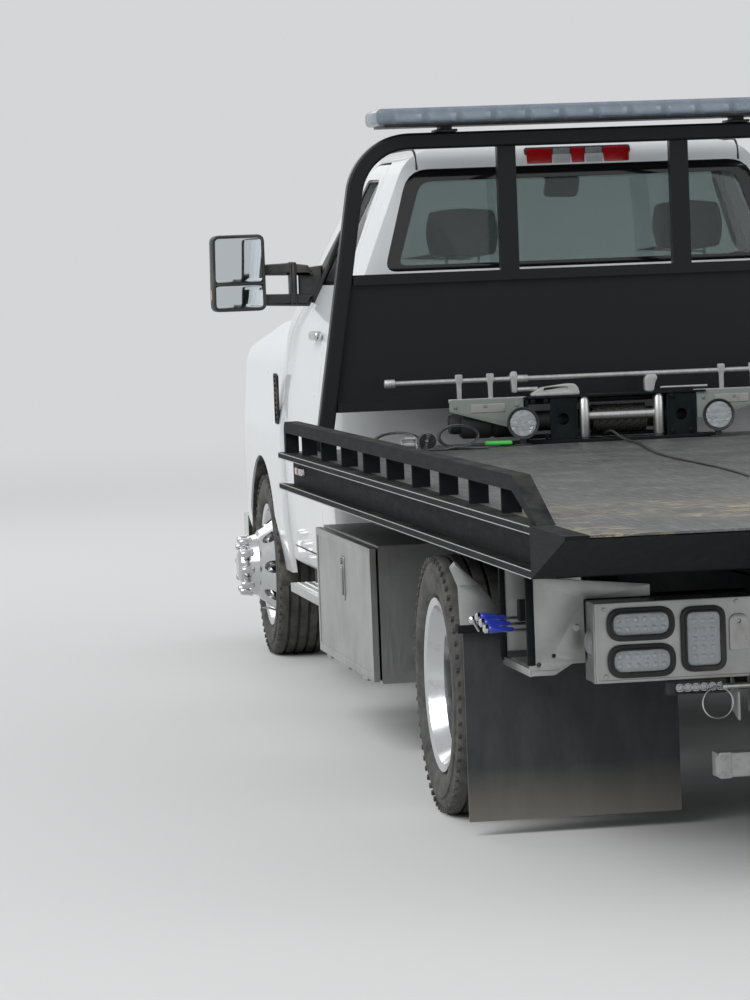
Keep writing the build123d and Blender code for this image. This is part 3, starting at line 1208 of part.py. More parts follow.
lamp_face_x = light_box_x - 12
with BuildPart() as tail_lamps:
    for middle_y, middle_z, width, height in ((806, 641, 190, 92), (806, 540, 190, 92), (632, 592, 126, 180),
                                              (532, 612, 52, 96)):
        radius = min(width, height) / 2 - 2
        outline = [(middle_y - width / 2, middle_z - height / 2, radius), (middle_y + width / 2, middle_z - height / 2, radius),
                   (middle_y + width / 2, middle_z + height / 2, radius), (middle_y - width / 2, middle_z + height / 2, radius)]
        for twin in both_sides(front_prism(outline, lamp_face_x, light_box_x)):
            add(twin)
    for twin in both_sides(block(light_box_x + 10, light_box_x + 40, 579, 734, 440, light_box_bottom_z)):
        add(twin)
save(tail_lamps, "tail_lamps")

# Wheel lift: a hinged boom, a stinger that slides out of it and a crossbar that turns on the stinger's end
half_boom = boom_size / 2
with BuildPart() as lift_boom:
    add(block(boom_rear_x, boom_front_x, -half_boom, half_boom, boom_middle_z - half_boom, boom_middle_z + half_boom))
    add(block(boom_rear_x - 1, boom_front_x - 20, -half_boom + boom_wall, half_boom - boom_wall,
              boom_middle_z - half_boom + boom_wall, boom_middle_z + half_boom - boom_wall), mode=Mode.SUBTRACT)
    cheek = side_prism([
        (boom_hinge_x - 50, boom_middle_z, 0), (boom_hinge_x + 50, boom_middle_z, 0),
        (boom_hinge_x + 40, boom_hinge_z + 36, 34), (boom_hinge_x - 40, boom_hinge_z + 36, 34)],
        half_boom, half_boom + 14)
    for twin in both_sides(cheek):
        add(twin)
    for twin in both_sides(rod((boom_hinge_x, half_boom - 10, boom_hinge_z), (boom_hinge_x, half_boom + 30, boom_hinge_z),
                               boom_pin_radius + hub_bore_gap)):
        add(twin, mode=Mode.SUBTRACT)
save(lift_boom, "lift_boom")

stinger_half = half_boom - boom_wall - stinger_gap
with BuildPart() as lift_stinger:
    add(block(stinger_rear_x, boom_front_x - 30, -stinger_half, stinger_half, boom_middle_z - stinger_half,
              boom_middle_z + stinger_half))
    add(rod((crossbar_x, 0, boom_middle_z - 45), (crossbar_x, 0, boom_middle_z + 45), 24))
    for low, high in ((boom_middle_z + 36 + 2, boom_middle_z + 46), (boom_middle_z - 46, boom_middle_z - 36 - 2)):
        add(block(crossbar_x - 34, stinger_rear_x + 20, -40, 40, low, high))
save(lift_stinger, "lift_stinger")

with BuildPart() as lift_crossbar:
    add(block(crossbar_x - crossbar_depth / 2, crossbar_x + crossbar_depth / 2, -crossbar_half_width,
              crossbar_half_width, crossbar_bottom_z, crossbar_top_z))
    add(rod((crossbar_x, 0, crossbar_bottom_z - 1), (crossbar_x, 0, crossbar_top_z + 1), 24 + hub_bore_gap),
        mode=Mode.SUBTRACT)
save(lift_crossbar, "lift_crossbar")

# Winch rope: off the drum, through the fairlead, over the deck to a hook that lies near the tail
rope_radius = 4.75
rope_deck_z = deck_top_z + rope_radius + 0.75
rope_on_deck = (
    (2565, -14), (2430, 3), (2295, 23), (2160, 44), (2025, 63), (1890, 81), (1755, 96), (1620, 108), (1485, 117),
    (1350, 123), (1215, 127), (1080, 129), (945, 132), (810, 136), (675, 142), (540, 150), (405, 160), (270, 171),
    (135, 184), (10, 197), (-110, 210),
)
rope_free = ((3030, 12, 986.5), (2975, 10, 1000), (2915, 2, 999), (2855, -12, 978), (2790, -24, 967.5),
             (2700, -30, rope_deck_z))
rope_route = [Vector(rear_axle_x + x, y, z) for x, y, z in rope_free]
rope_route += [Vector(rear_axle_x + x, y, rope_deck_z) for x, y in rope_on_deck]
rope_radii = []
for before, here, after in zip(rope_route, rope_route[1:], rope_route[2:]):
    turn = radians((here - before).get_angle(after - here))
    rope_radii.append(0.45 * min((here - before).length, (after - here).length) / tan(turn / 2))
print("rope radii:", [round(radius) for radius in rope_radii])

with BuildPart() as winch_rope:
    with BuildLine():
        rope_line = FilletPolyline(*rope_route, radius=rope_radii)
    with BuildSketch(Plane(rope_route[0], z_dir=rope_route[1] - rope_route[0])):
        Circle(rope_radius)
    sweep()
print("rope length", round(rope_line.length), "section times length over volume",
      round(rope_line.length * Circle(rope_radius).area / winch_rope.part.volume, 5))
save(winch_rope, "winch_rope")

# Hook: a ferrule on the rope's end and a flat forged hook that lies on the deck
rope_end = rope_route[-1]
rope_out = (rope_route[-1] - rope_route[-2]).normalized()
rope_heading = degrees(atan2(rope_out.Y, rope_out.X))
hook_thickness = 18
hook_radius = 40
hook_mouth = 22
with BuildPart() as winch_hook:
    add(rod(rope_end, rope_end + rope_out * 60, rope_radius + 0.5))
    with BuildSketch(Plane(rope_end + rope_out * (58 + hook_radius) - Vector(0, 0, rope_deck_z - deck_top_z - 0.5),
                           x_dir=(rope_out.X, rope_out.Y, 0))):
        Circle(hook_radius)
        Circle(hook_mouth, mode=Mode.SUBTRACT)
        with Locations((hook_radius / 2, hook_radius)):
            Rectangle(hook_radius, hook_radius * 2, mode=Mode.SUBTRACT)
    extrude(amount=hook_thickness)
save(winch_hook, "winch_hook")
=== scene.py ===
"""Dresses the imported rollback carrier: finishes, wheels, lamps, cab trim, deck fittings and a plain studio."""
import json
from math import cos, pi, radians, sin

import bpy
from mathutils import Matrix, Vector


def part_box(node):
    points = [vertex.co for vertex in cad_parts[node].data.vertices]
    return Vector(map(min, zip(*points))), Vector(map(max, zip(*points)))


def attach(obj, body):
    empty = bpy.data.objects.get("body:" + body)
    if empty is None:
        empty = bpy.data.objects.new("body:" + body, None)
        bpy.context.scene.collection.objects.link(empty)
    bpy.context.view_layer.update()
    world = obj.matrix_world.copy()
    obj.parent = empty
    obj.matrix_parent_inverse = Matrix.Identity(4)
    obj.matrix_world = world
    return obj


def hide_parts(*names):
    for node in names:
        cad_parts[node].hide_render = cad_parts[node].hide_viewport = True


bl_info = {
    "name": "Rollback carrier",
    "version": (1, 0, 0),
    "blender": (4, 5, 0),
    "location": "3D View > Sidebar > Rollback",
    "description": "Builds the visible pieces of a rollback carrier round its packed frame",
    "category": "Object",
}

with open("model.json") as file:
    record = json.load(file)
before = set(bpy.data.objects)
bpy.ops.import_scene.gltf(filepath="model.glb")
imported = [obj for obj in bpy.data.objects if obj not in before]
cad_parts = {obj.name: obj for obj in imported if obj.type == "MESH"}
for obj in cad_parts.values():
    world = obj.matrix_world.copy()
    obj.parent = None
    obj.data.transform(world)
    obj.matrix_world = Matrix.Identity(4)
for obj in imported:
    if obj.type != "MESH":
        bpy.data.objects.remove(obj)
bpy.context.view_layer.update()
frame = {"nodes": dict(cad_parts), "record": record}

rear_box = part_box("rear_rims_left")
front_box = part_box("front_rim_left")
REAR = (rear_box[0][0] + rear_box[1][0]) / 2
FRONT = (front_box[0][0] + front_box[1][0]) / 2
AXLE = (rear_box[0][2] + rear_box[1][2]) / 2
DECK = 0.961
CAB = FRONT - 2.057
X, Y, Z, BACK = (1, 0, 0), (0, 1, 0), (0, 0, 1), (-1, 0, 0)
SIDES = ("left", "right")

# The cab's rear wall and door windows lean in above the belt line, and so does the windscreen
WALL_FOOT, WALL_LEAN = 1.54, (0.0957, 0, 0.9954)
DOOR_FOOT, DOOR_LEAN = 1.56, (0, -0.377, 0.926)
SCREEN_MIDDLE = Vector((FRONT - 0.8, 0, 1.793))
SCREEN_RISE = Vector((-0.52, 0, 0.586)).normalized()
SCREEN_OUT = Vector(Y).cross(SCREEN_RISE)
SCREEN = ((0.79, -0.34, 0.06), (0.63, 0.325, 0.07))


# Settings

class StudioSettings(bpy.types.PropertyGroup):
    camera_place: bpy.props.FloatVectorProperty(
        name="Camera place", description="Where the camera stands", default=(-14.1641, 3.1919, 1.6345),
        subtype="TRANSLATION", unit="LENGTH")
    camera_turn: bpy.props.FloatProperty(
        name="Camera heading", description="Turn of the view from straight ahead", default=-0.1513158, unit="ROTATION")
    camera_dip: bpy.props.FloatProperty(
        name="Camera dip", description="How far the view looks down", default=-0.056151, unit="ROTATION")
    camera_roll: bpy.props.FloatProperty(
        name="Camera roll", description="Tilt of the horizon in the view", default=0.0383692, unit="ROTATION")
    lens: bpy.props.FloatProperty(
        name="Lens", description="Focal length on a 36 mm sensor", default=147.6, unit="CAMERA")
    floor_colour: bpy.props.FloatVectorProperty(
        name="Floor", description="Colour of the studio floor", default=(0.62, 0.62, 0.61), subtype="COLOR")
    backdrop: bpy.props.FloatVectorProperty(
        name="Backdrop", description="Colour behind the truck", default=(0.66, 0.67, 0.68), subtype="COLOR")


class FinishSettings(bpy.types.PropertyGroup):
    body_white: bpy.props.FloatVectorProperty(
        name="Body white", description="Clear-coated paint of cab and hood", default=(0.78, 0.80, 0.81),
        subtype="COLOR")
    frame_black: bpy.props.FloatVectorProperty(
        name="Frame black", description="Paint of deck frame, rails and headboard", default=(0.011, 0.012, 0.014),
        subtype="COLOR")
    deck_grey: bpy.props.FloatVectorProperty(
        name="Deck grey", description="Worn steel of the deck plate", default=(0.085, 0.085, 0.082), subtype="COLOR")
    winch_green: bpy.props.FloatVectorProperty(
        name="Winch green", description="Faded paint of the winch", default=(0.2, 0.225, 0.205), subtype="COLOR")
    dust: bpy.props.FloatVectorProperty(
        name="Dust", description="Road dust on tyres, flaps and frame", default=(0.33, 0.3, 0.25), subtype="COLOR")
    lens_red: bpy.props.FloatVectorProperty(
        name="Red lens", description="Colour of stop and marker lenses", default=(0.55, 0.01, 0.015), subtype="COLOR")
    grip_blue: bpy.props.FloatVectorProperty(
        name="Lever grip", description="Colour of the control levers' grips", default=(0.02, 0.04, 0.4),
        subtype="COLOR")


class WheelSettings(bpy.types.PropertyGroup):
    groove_depth: bpy.props.FloatProperty(
        name="Groove depth", description="Depth of the tread's grooves", default=0.011, unit="LENGTH")
    groove_width: bpy.props.FloatProperty(
        name="Groove width", description="Width of the tread's grooves", default=0.009, unit="LENGTH")
    stud_circle: bpy.props.FloatProperty(
        name="Stud circle", description="Radius of the wheel nuts' circle", default=0.112, unit="LENGTH")
    nut_count: bpy.props.IntProperty(name="Wheel nuts", description="Nuts on each wheel", default=10)


# Making shapes

def clear_selection():
    """Leave edit mode and select nothing."""
    if bpy.context.mode != "OBJECT":
        bpy.ops.object.mode_set(mode="OBJECT")
    bpy.ops.object.select_all(action="DESELECT")


def pick(pieces):
    """Select these pieces alone, with the first one active."""
    clear_selection()
    for piece in pieces:
        piece.select_set(True)
    bpy.context.view_layer.objects.active = pieces[0]


def add_object(name, data):
    """A new object in the scene."""
    made = bpy.data.objects.new(name, data)
    bpy.context.collection.objects.link(made)
    return made


def apply_place():
    """Write the active piece's place, turn and size into its mesh."""
    bpy.ops.object.transform_apply(location=True, rotation=True, scale=True)


def mend(merge=0.0):
    """Merge points closer than a distance, and turn the active piece's faces outwards."""
    bpy.ops.object.mode_set(mode="EDIT")
    bpy.ops.mesh.select_all(action="SELECT")
    if merge:
        bpy.ops.mesh.remove_doubles(threshold=merge)
    bpy.ops.mesh.normals_make_consistent(inside=False)
    bpy.ops.object.mode_set(mode="OBJECT")


def turn_about(piece, centre, angle, axis):
    """Turn the active piece about an axis through a centre."""
    piece.matrix_world = (Matrix.Translation(centre) @ Matrix.Rotation(angle, 4, axis)
                          @ Matrix.Translation(-Vector(centre)))
    apply_place()


def block(low, high, bevel=0.003, segments=2):
    """A box between two corners, with every edge bevelled."""
    clear_selection()
    middle = [(a + b) / 2 for a, b in zip(low, high)]
    bpy.ops.mesh.primitive_cube_add(size=1, location=middle, scale=[b - a for a, b in zip(low, high)])
    piece = bpy.context.active_object
    apply_place()
    if bevel:
        bpy.ops.object.mode_set(mode="EDIT")
        bpy.ops.mesh.select_all(action="SELECT")
        bpy.ops.mesh.bevel(offset=bevel, segments=segments, affect="EDGES")
        bpy.ops.object.mode_set(mode="OBJECT")
    return piece


def rounded(corners, radius, steps=5):
    """The points of an outline whose corners are rounded; a corner may carry its own radius as a third number."""
    points = []
    for before, here, after in zip(corners[-1:] + corners[:-1], corners, corners[1:] + corners[:1]):
        bend = here[2] if len(here) > 2 else radius
        middle = Vector(here[:2])
        back, on = Vector(before[:2]) - middle, Vector(after[:2]) - middle
        reach = min(bend, back.length * 0.49, on.length * 0.49)
        if reach < 1e-5:
            points.append(tuple(middle))
            continue
        start, end = middle + back.normalized() * reach, middle + on.normalized() * reach
        for step in range(steps + 1):
            part = step / steps
            points.append(tuple(start * (1 - part) ** 2 + middle * 2 * part * (1 - part) + end * part ** 2))
    return points


def plate(outlines, origin, across, up, depth, bevel=0.0):
    """A flat outline, with holes after the first, given depth along across x up."""
    clear_selection()
    shape = bpy.data.curves.new("outline", "CURVE")
    shape.dimensions = "2D"
    shape.fill_mode = "BOTH"
    shape.extrude = depth / 2 - bevel
    shape.bevel_depth = bevel
    shape.offset = -bevel
    shape.bevel_resolution = 1
    for points in outlines:
        spline = shape.splines.new("POLY")
        spline.points.add(len(points) - 1)
        for point, (a, b) in zip(spline.points, points):
            point.co = (a, b, 0, 1)
        spline.use_cyclic_u = True
    piece = add_object("outline", shape)
    across, up = Vector(across).normalized(), Vector(up).normalized()
    out = across.cross(up)
    turn = Matrix((across, up, out)).transposed().to_4x4()
    pick([piece])
    bpy.ops.object.convert(target="MESH")
    piece.matrix_world = Matrix.Translation(Vector(origin) + out * depth / 2) @ turn
    apply_place()
    mend(0.00002)
    return piece


def turned(rows, centre, axis, steps=48, closed=False):
    """A section of (along the axis, radius) rows, drawn point by point and spun about the axis."""
    clear_selection()
    axis = Vector(axis).normalized()
    side = axis.orthogonal().normalized()
    points = [Vector(centre) + axis * along + side * radius for along, radius in rows]
    bpy.ops.mesh.primitive_plane_add(size=0.001, location=points[0])
    piece = bpy.context.active_object
    bpy.ops.object.mode_set(mode="EDIT")
    bpy.ops.mesh.merge(type="CENTER")
    for before, after in zip(points, points[1:] + (points[:1] if closed else [])):
        bpy.ops.mesh.extrude_vertices_move(TRANSFORM_OT_translate={"value": after - before})
    bpy.ops.mesh.select_all(action="SELECT")
    bpy.ops.mesh.spin(steps=steps, angle=2 * pi, center=centre, axis=axis)
    mend(0.00005)
    apply_place()
    return piece


def rod(centre, axis, length, radius, steps=12, ease=None):
    """A round bar from a centre along an axis, its ends eased by (along, across)."""
    along, across = ease or (0, 0)
    rows = [(0, 0), (0, radius - across), (along, radius), (length - along, radius), (length, radius - across),
            (length, 0)]
    return turned(rows if ease else [rows[0], *rows[2:4], rows[5]], centre, axis, steps)


def line(name, points, radius, sides, smooth, closed=False):
    """A curve with a round section along points, either straight from point to point or as one smooth line."""
    curve = bpy.data.curves.new(name, "CURVE")
    curve.dimensions = "3D"
    curve.bevel_depth = radius
    curve.bevel_resolution = sides
    curve.use_fill_caps = True
    spline = curve.splines.new("NURBS" if smooth else "POLY")
    spline.points.add(len(points) - 1)
    for point, place in zip(spline.points, points):
        point.co = (*place, 1)
    spline.use_cyclic_u = closed
    if smooth:
        spline.order_u = 3
        spline.use_endpoint_u = not closed
    return add_object(name, curve)


def tube(points, radius, smooth=False, sides=2, closed=False):
    """A round bar along points."""
    piece = line("tube", points, radius, sides, smooth, closed)
    piece.data.resolution_u = 6
    pick([piece])
    bpy.ops.object.convert(target="MESH")
    return piece


def copies(piece, moves):
    """The piece and a copy of it at each further place."""
    made = [piece]
    for move in moves:
        pick([piece])
        bpy.ops.object.duplicate()
        twin = bpy.context.active_object
        bpy.ops.transform.translate(value=move)
        apply_place()
        made.append(twin)
    return made


def spaced(piece, step, count):
    """The piece and a count of copies of it, each a step further."""
    return copies(piece, [tuple(part * number for part in step) for number in range(1, count + 1)])


def ring(piece, centre, axis, count, start=0.0):
    """Copies of the piece, spaced evenly round an axis; the piece itself becomes the last."""
    made = []
    for number in range(count):
        pick([piece])
        if number < count - 1:
            bpy.ops.object.duplicate()
        twin = bpy.context.active_object
        turn_about(twin, centre, start + 2 * pi * number / count, axis)
        made.append(twin)
    return made


def mirrored(piece):
    """A copy of the piece on the truck's other side."""
    pick([piece])
    bpy.ops.object.duplicate()
    twin = bpy.context.active_object
    twin.scale = (1, -1, 1)
    apply_place()
    mend()
    return twin


def both(pieces):
    """The pieces with their twins on the truck's other side."""
    return list(pieces) + [mirrored(piece) for piece in pieces]


def cut(piece, tools, how="DIFFERENCE"):
    """Cut tools out of a piece, or keep what it shares with them."""
    for tool in tools:
        pick([piece])
        boolean = piece.modifiers.new("cut", "BOOLEAN")
        boolean.operation = how
        boolean.solver = "EXACT"
        boolean.object = tool
        bpy.ops.object.modifier_apply(modifier="cut")
        bpy.data.objects.remove(tool)
    return piece


def circle(a, b, radius, count=24):
    """The points of a circle."""
    return [(a + radius * cos(2 * pi * n / count), b + radius * sin(2 * pi * n / count)) for n in range(count)]


def across_plate(x, corners, depth, radius=0.006, bevel=0.001, holes=()):
    """A plate that faces back, from its (y, z) corners, with its rear face at x."""
    return plate([rounded(corners, radius), *holes], (x, 0, 0), Y, Z, depth, bevel)


def along_plate(y, corners, depth, radius=0.006, bevel=0.001, holes=()):
    """A plate that faces sideways, from its (x, z) corners, from y outwards."""
    return plate([rounded(corners, radius), *holes], (0, y + depth, 0), X, Z, depth, bevel)


def square(a0, b0, a1, b1):
    """The corners of a rectangle."""
    return [(a0, b0), (a1, b0), (a1, b1), (a0, b1)]


def halved(rows):
    """An outline that is the same on both sides, from the rows of its left half."""
    return list(rows) + [(-row[0], *row[1:]) for row in reversed(rows)]


def bolt(centre, axis, radius=0.008):
    """A hexagonal bolt head on its washer."""
    return turned([(0, 0), (0, radius * 1.35), (0.0015, radius * 1.35), (0.0016, radius), (radius * 0.8, radius),
                   (radius, radius * 0.8), (radius, 0)], centre, axis, 6)


def settle(pieces, name, body, slot, look=None, replaces=(), angle=35):
    """Join pieces into one named piece that rides a body and wears its slot's finish, or another look."""
    pick(pieces)
    if len(pieces) > 1:
        bpy.ops.object.join()
    piece = bpy.context.active_object
    piece.name = name
    piece.data.name = name
    piece.data.materials.clear()
    piece.data.materials.append(finishes[look or slot])
    bpy.ops.object.shade_smooth_by_angle(angle=radians(angle))
    clear_selection()
    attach(piece, body)
    if replaces:
        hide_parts(*replaces)
    return piece


def settle_sides(pieces, name, body, slot, look=None, replaces=None, angle=35):
    """Settle pieces on the left and their twins on the right; {} stands for the side's name."""
    for group, side in (([mirrored(piece) for piece in pieces], "right"), (pieces, "left")):
        settle(group, name.format(side), body.format(side), slot, look, (replaces.format(side),) if replaces else (),
               angle)


def wall_plate(outlines, out, depth, bevel=0.001):
    """A plate that lies in the cab's leaning rear wall."""
    return plate(outlines, (CAB + out, 0, WALL_FOOT), Y, WALL_LEAN, depth, bevel)


def wall_pane(rows):
    """The outline of a pane in the rear wall, from (y, height, corner) rows of its left half."""
    return rounded(halved([(y, (z - WALL_FOOT) / WALL_LEAN[2], r) for y, z, r in rows]), 0)


def door_pane(rows):
    """The outline of a pane in the leaning left door, from its (x, height, corner) rows."""
    return rounded([(-x, (z - DOOR_FOOT) / DOOR_LEAN[2], r) for x, z, r in rows], 0)


# Making finishes

class Finish:
    """A material's node tree, with its shader and its Object coordinates at hand."""

    def __init__(self, name, colour, roughness, metallic=0.0, **sockets):
        self.material = bpy.data.materials.new(name)
        self.material.use_nodes = True
        self.nodes = self.material.node_tree.nodes
        self.links = self.material.node_tree.links
        self.shader = self.nodes["Principled BSDF"]
        self.shader.inputs["Base Color"].default_value = (*colour, 1)
        self.shader.inputs["Roughness"].default_value = roughness
        self.shader.inputs["Metallic"].default_value = metallic
        for socket, value in sockets.items():
            self.shader.inputs[socket.replace("_", " ")].default_value = value
        self.place = self.nodes.new("ShaderNodeTexCoord").outputs["Object"]

    def node(self, kind, **inputs):
        """A new node whose inputs are each given a value or another node's output."""
        made = self.nodes.new(kind)
        for name, value in inputs.items():
            socket = made.inputs[name.replace("_", " ")]
            if isinstance(value, bpy.types.NodeSocket):
                self.links.new(value, socket)
            else:
                socket.default_value = value
        return made

    def stretched(self, scale, turn=(0, 0, 0)):
        """Object coordinates, scaled and turned."""
        return self.node("ShaderNodeMapping", Scale=scale, Rotation=turn, Vector=self.place).outputs["Vector"]

    def noise(self, scale, detail=4.0, grain=0.55, place=None):
        """Soft noise between 0 and 1."""
        return self.node("ShaderNodeTexNoise", Scale=scale, Detail=detail, Roughness=grain,
                         Vector=place or self.place).outputs["Fac"]

    def cells(self, scale):
        """Distance to the nearest of scattered points."""
        return self.node("ShaderNodeTexVoronoi", Scale=scale, Vector=self.place).outputs["Distance"]

    def wave(self, scale, place=None):
        """Stripes between 0 and 1."""
        return self.node("ShaderNodeTexWave", Scale=scale, Vector=place or self.place).outputs["Fac"]

    def span(self, value, low, high, to_low=0.0, to_high=1.0):
        """A value taken from one range to another and kept inside it."""
        return self.node("ShaderNodeMapRange", From_Min=low, From_Max=high, To_Min=to_low, To_Max=to_high,
                         Value=value).outputs["Result"]

    def combine(self, first, second, how="MULTIPLY"):
        """Two values, or a value and a number, put together."""
        node = self.nodes.new("ShaderNodeMath")
        node.operation = how
        node.use_clamp = how in ("ADD", "SUBTRACT")
        for socket, value in zip(node.inputs, (first, second)):
            if isinstance(value, (int, float)):
                socket.default_value = value
            else:
                self.links.new(value, socket)
        return node.outputs["Value"]

    def axis(self, name, vector=None):
        """One part of a vector, or a point's place along one axis in metres."""
        return self.node("ShaderNodeSeparateXYZ", Vector=vector or self.place).outputs[name]

    def facing_up(self):
        """1 on surfaces that face up, 0 on walls."""
        return self.span(self.axis("Z", self.nodes.new("ShaderNodeNewGeometry").outputs["Normal"]), 0.3, 0.95)

    def cover(self, amount, colour):
        """Lay a colour over the base colour by an amount."""
        node = self.nodes.new("ShaderNodeMix")
        node.data_type = "RGBA"
        socket = self.shader.inputs["Base Color"]
        if socket.is_linked:
            self.links.new(socket.links[0].from_socket, node.inputs["A"])
        else:
            node.inputs["A"].default_value = socket.default_value
        node.inputs["B"].default_value = (*colour, 1)
        self.links.new(amount, node.inputs["Factor"])
        self.links.new(node.outputs["Result"], socket)

    def shade(self, value, low, high, amount, colour, by=None):
        """Lay a colour where a value goes from low to high, by at most an amount and by another value."""
        share = self.span(value, low, high, 0, amount)
        self.cover(self.combine(share, by) if by else share, colour)

    def rough(self, amount, low, high):
        """Roughness that goes from low to high with an amount."""
        self.links.new(self.span(amount, 0, 1, low, high), self.shader.inputs["Roughness"])

    def bump(self, height, strength, distance):
        """Relief from a height value."""
        node = self.node("ShaderNodeBump", Strength=strength, Distance=distance, Height=height)
        socket = self.shader.inputs["Normal"]
        if socket.is_linked:
            self.links.new(socket.links[0].from_socket, node.inputs["Normal"])
        self.links.new(node.outputs["Normal"], socket)
        return self


finishes = {}


def finish(key, name, colour, roughness, metallic=0.0, patches=(), mottle=None, relief=None, **sockets):
    """Make and keep a finish: patches of (scale, detail, grain, low, high, amount, colour) noise over its colour,
    a mottle of (scale, detail, low, high) in its roughness, and a relief of (pattern, its numbers, strength, distance).
    """
    look = Finish(name, colour, roughness, metallic, **sockets)
    for scale, detail, grain, low, high, amount, shade in patches:
        look.shade(look.noise(scale, detail, grain), low, high, amount, shade)
    if mottle:
        scale, detail, low, high = mottle
        look.rough(look.noise(scale, detail), low, high)
    if relief:
        pattern, numbers, strength, distance = relief
        look.bump(getattr(look, pattern)(*numbers), strength, distance)
    finishes[key] = look.material
    return look


def make_paints(settings, dust):
    """The painted and plated metals."""
    white = finish("white_paint", "white body paint", settings.body_white, 0.3, Coat_Weight=0.7, Coat_Roughness=0.04,
                   relief=("noise", (420, 2), 0.04, 0.0004))
    grime = white.combine(white.span(white.axis("Z"), 0.35, 0.95, 1, 0), white.noise(5, 5))
    white.cover(white.combine(grime, 0.45), dust)
    white.shade(white.noise(1.4, 3), 0.4, 0.75, 0.08, (0.6, 0.63, 0.66))
    white.rough(white.noise(9, 3), 0.22, 0.4)

    black = finish("black_gloss", "gloss black paint", settings.frame_black, 0.3, Specular_IOR_Level=0.22,
                   mottle=(11, 5, 0.18, 0.5), relief=("noise", (260, 3), 0.06, 0.0006))
    black.shade(black.noise(16, 6, 0.7), 0.55, 0.8, 0.5, dust, black.facing_up())
    black.shade(black.noise(60, 5, 0.75), 0.7, 0.76, 0.4, (0.06, 0.06, 0.062))

    worn = finish("black_paint", "scuffed black paint", (0.011, 0.0135, 0.0145), 0.5, Specular_IOR_Level=0.04,
                  relief=("noise", (180, 4), 0.12, 0.0008))
    streaks = worn.noise(24, 7, 0.75, worn.stretched((0.25, 1, 1)))
    worn.shade(streaks, 0.56, 0.74, 0.45, (0.036, 0.041, 0.044))
    worn.shade(worn.noise(70, 6, 0.8), 0.67, 0.74, 0.6, (0.13, 0.125, 0.12))
    worn.shade(worn.noise(38, 6, 0.8), 0.71, 0.78, 0.5, (0.12, 0.06, 0.03))
    worn.shade(worn.noise(9, 6, 0.7), 0.42, 0.8, 0.18, dust, worn.facing_up())
    worn.rough(streaks, 0.4, 0.75)

    finish("grey_green_paint", "faded winch paint", settings.winch_green, 0.5, 0,
           ((30, 6, 0.7, 0.55, 0.75, 0.7, (0.3, 0.32, 0.28)), (48, 6, 0.8, 0.66, 0.74, 0.8, (0.1, 0.06, 0.04))),
           (15, 4, 0.35, 0.65))
    zinc = finish("galvanised", "dull galvanised steel", (0.5, 0.51, 0.5), 0.45, 0.7, mottle=(25, 4, 0.35, 0.6))
    zinc.shade(zinc.cells(55), 0.2, 0.7, 0.45, (0.34, 0.35, 0.35))
    zinc.shade(zinc.noise(22, 6, 0.7), 0.6, 0.75, 0.55, dust)


def make_metals(dust):
    """The bare metals."""
    steel = finish("stainless", "brushed stainless", (0.43, 0.435, 0.43), 0.25, 1.0,
                   ((3.5, 7, 0.65, 0.42, 0.72, 0.65, (0.25, 0.245, 0.23)),))
    grain = steel.noise(240, 3, 0.6, steel.stretched((1, 1, 0.03)))
    steel.rough(steel.combine(grain, steel.noise(4, 4), "ADD"), 0.08, 0.42)
    steel.bump(grain, 0.05, 0.0003).bump(steel.noise(2.2, 2), 0.12, 0.006)

    bright = finish("bright_steel", "rubbed bright steel", (0.6, 0.6, 0.59), 0.3, 0.95)
    scars = bright.noise(120, 5, 0.7, bright.stretched((1, 1, 0.08)))
    bright.shade(scars, 0.5, 0.7, 0.5, (0.3, 0.29, 0.28))
    bright.rough(scars, 0.2, 0.5)

    rope = finish("rope_steel", "wire rope", (0.14, 0.135, 0.125), 0.5, 0.7)
    lay = rope.wave(60, rope.stretched((1, 1, 1), (0, 0, 0.8)))
    rope.shade(lay, 0.3, 0.7, 0.8, (0.035, 0.033, 0.03))
    rope.bump(lay, 0.6, 0.001)

    finish("bare_steel", "bare steel", (0.42, 0.42, 0.41), 0.35, 0.9,
           ((40, 6, 0.75, 0.58, 0.74, 0.7, (0.2, 0.14, 0.1)),), (60, 4, 0.25, 0.55))
    finish("polished_rim", "polished wheel metal", (0.6, 0.61, 0.62), 0.12, 1.0,
           ((26, 6, 0.7, 0.55, 0.75, 0.5, (0.45, 0.42, 0.38)),), (14, 5, 0.06, 0.3))
    finish("cast_iron", "dark cast iron", (0.018, 0.018, 0.019), 0.6, 0.2,
           ((11, 6, 0.7, 0.4, 0.75, 0.3, (0.09, 0.08, 0.07)),), None, ("noise", (140, 5), 0.3, 0.0012))
    finish("cast_light", "light casting", (0.42, 0.43, 0.42), 0.55, 0.4,
           ((40, 6, 0.75, 0.52, 0.72, 0.6, (0.24, 0.22, 0.2)),), None, ("noise", (220, 4), 0.25, 0.001))
    finish("alloy", "tread-plate alloy", (0.55, 0.55, 0.55), 0.35, 0.9, ((18, 6, 0.7, 0.45, 0.75, 0.6, dust),),
           (30, 4, 0.3, 0.55))
    finish("chrome", "chrome trim", (0.55, 0.56, 0.57), 0.06, 1.0, ((50, 5, 0.55, 0.6, 0.8, 0.25, (0.5, 0.5, 0.5)),),
           (22, 4, 0.03, 0.2))
    finish("mirror", "mirror glass", (0.62, 0.66, 0.68), 0.03, 1.0, (), (8, 4, 0.02, 0.08))


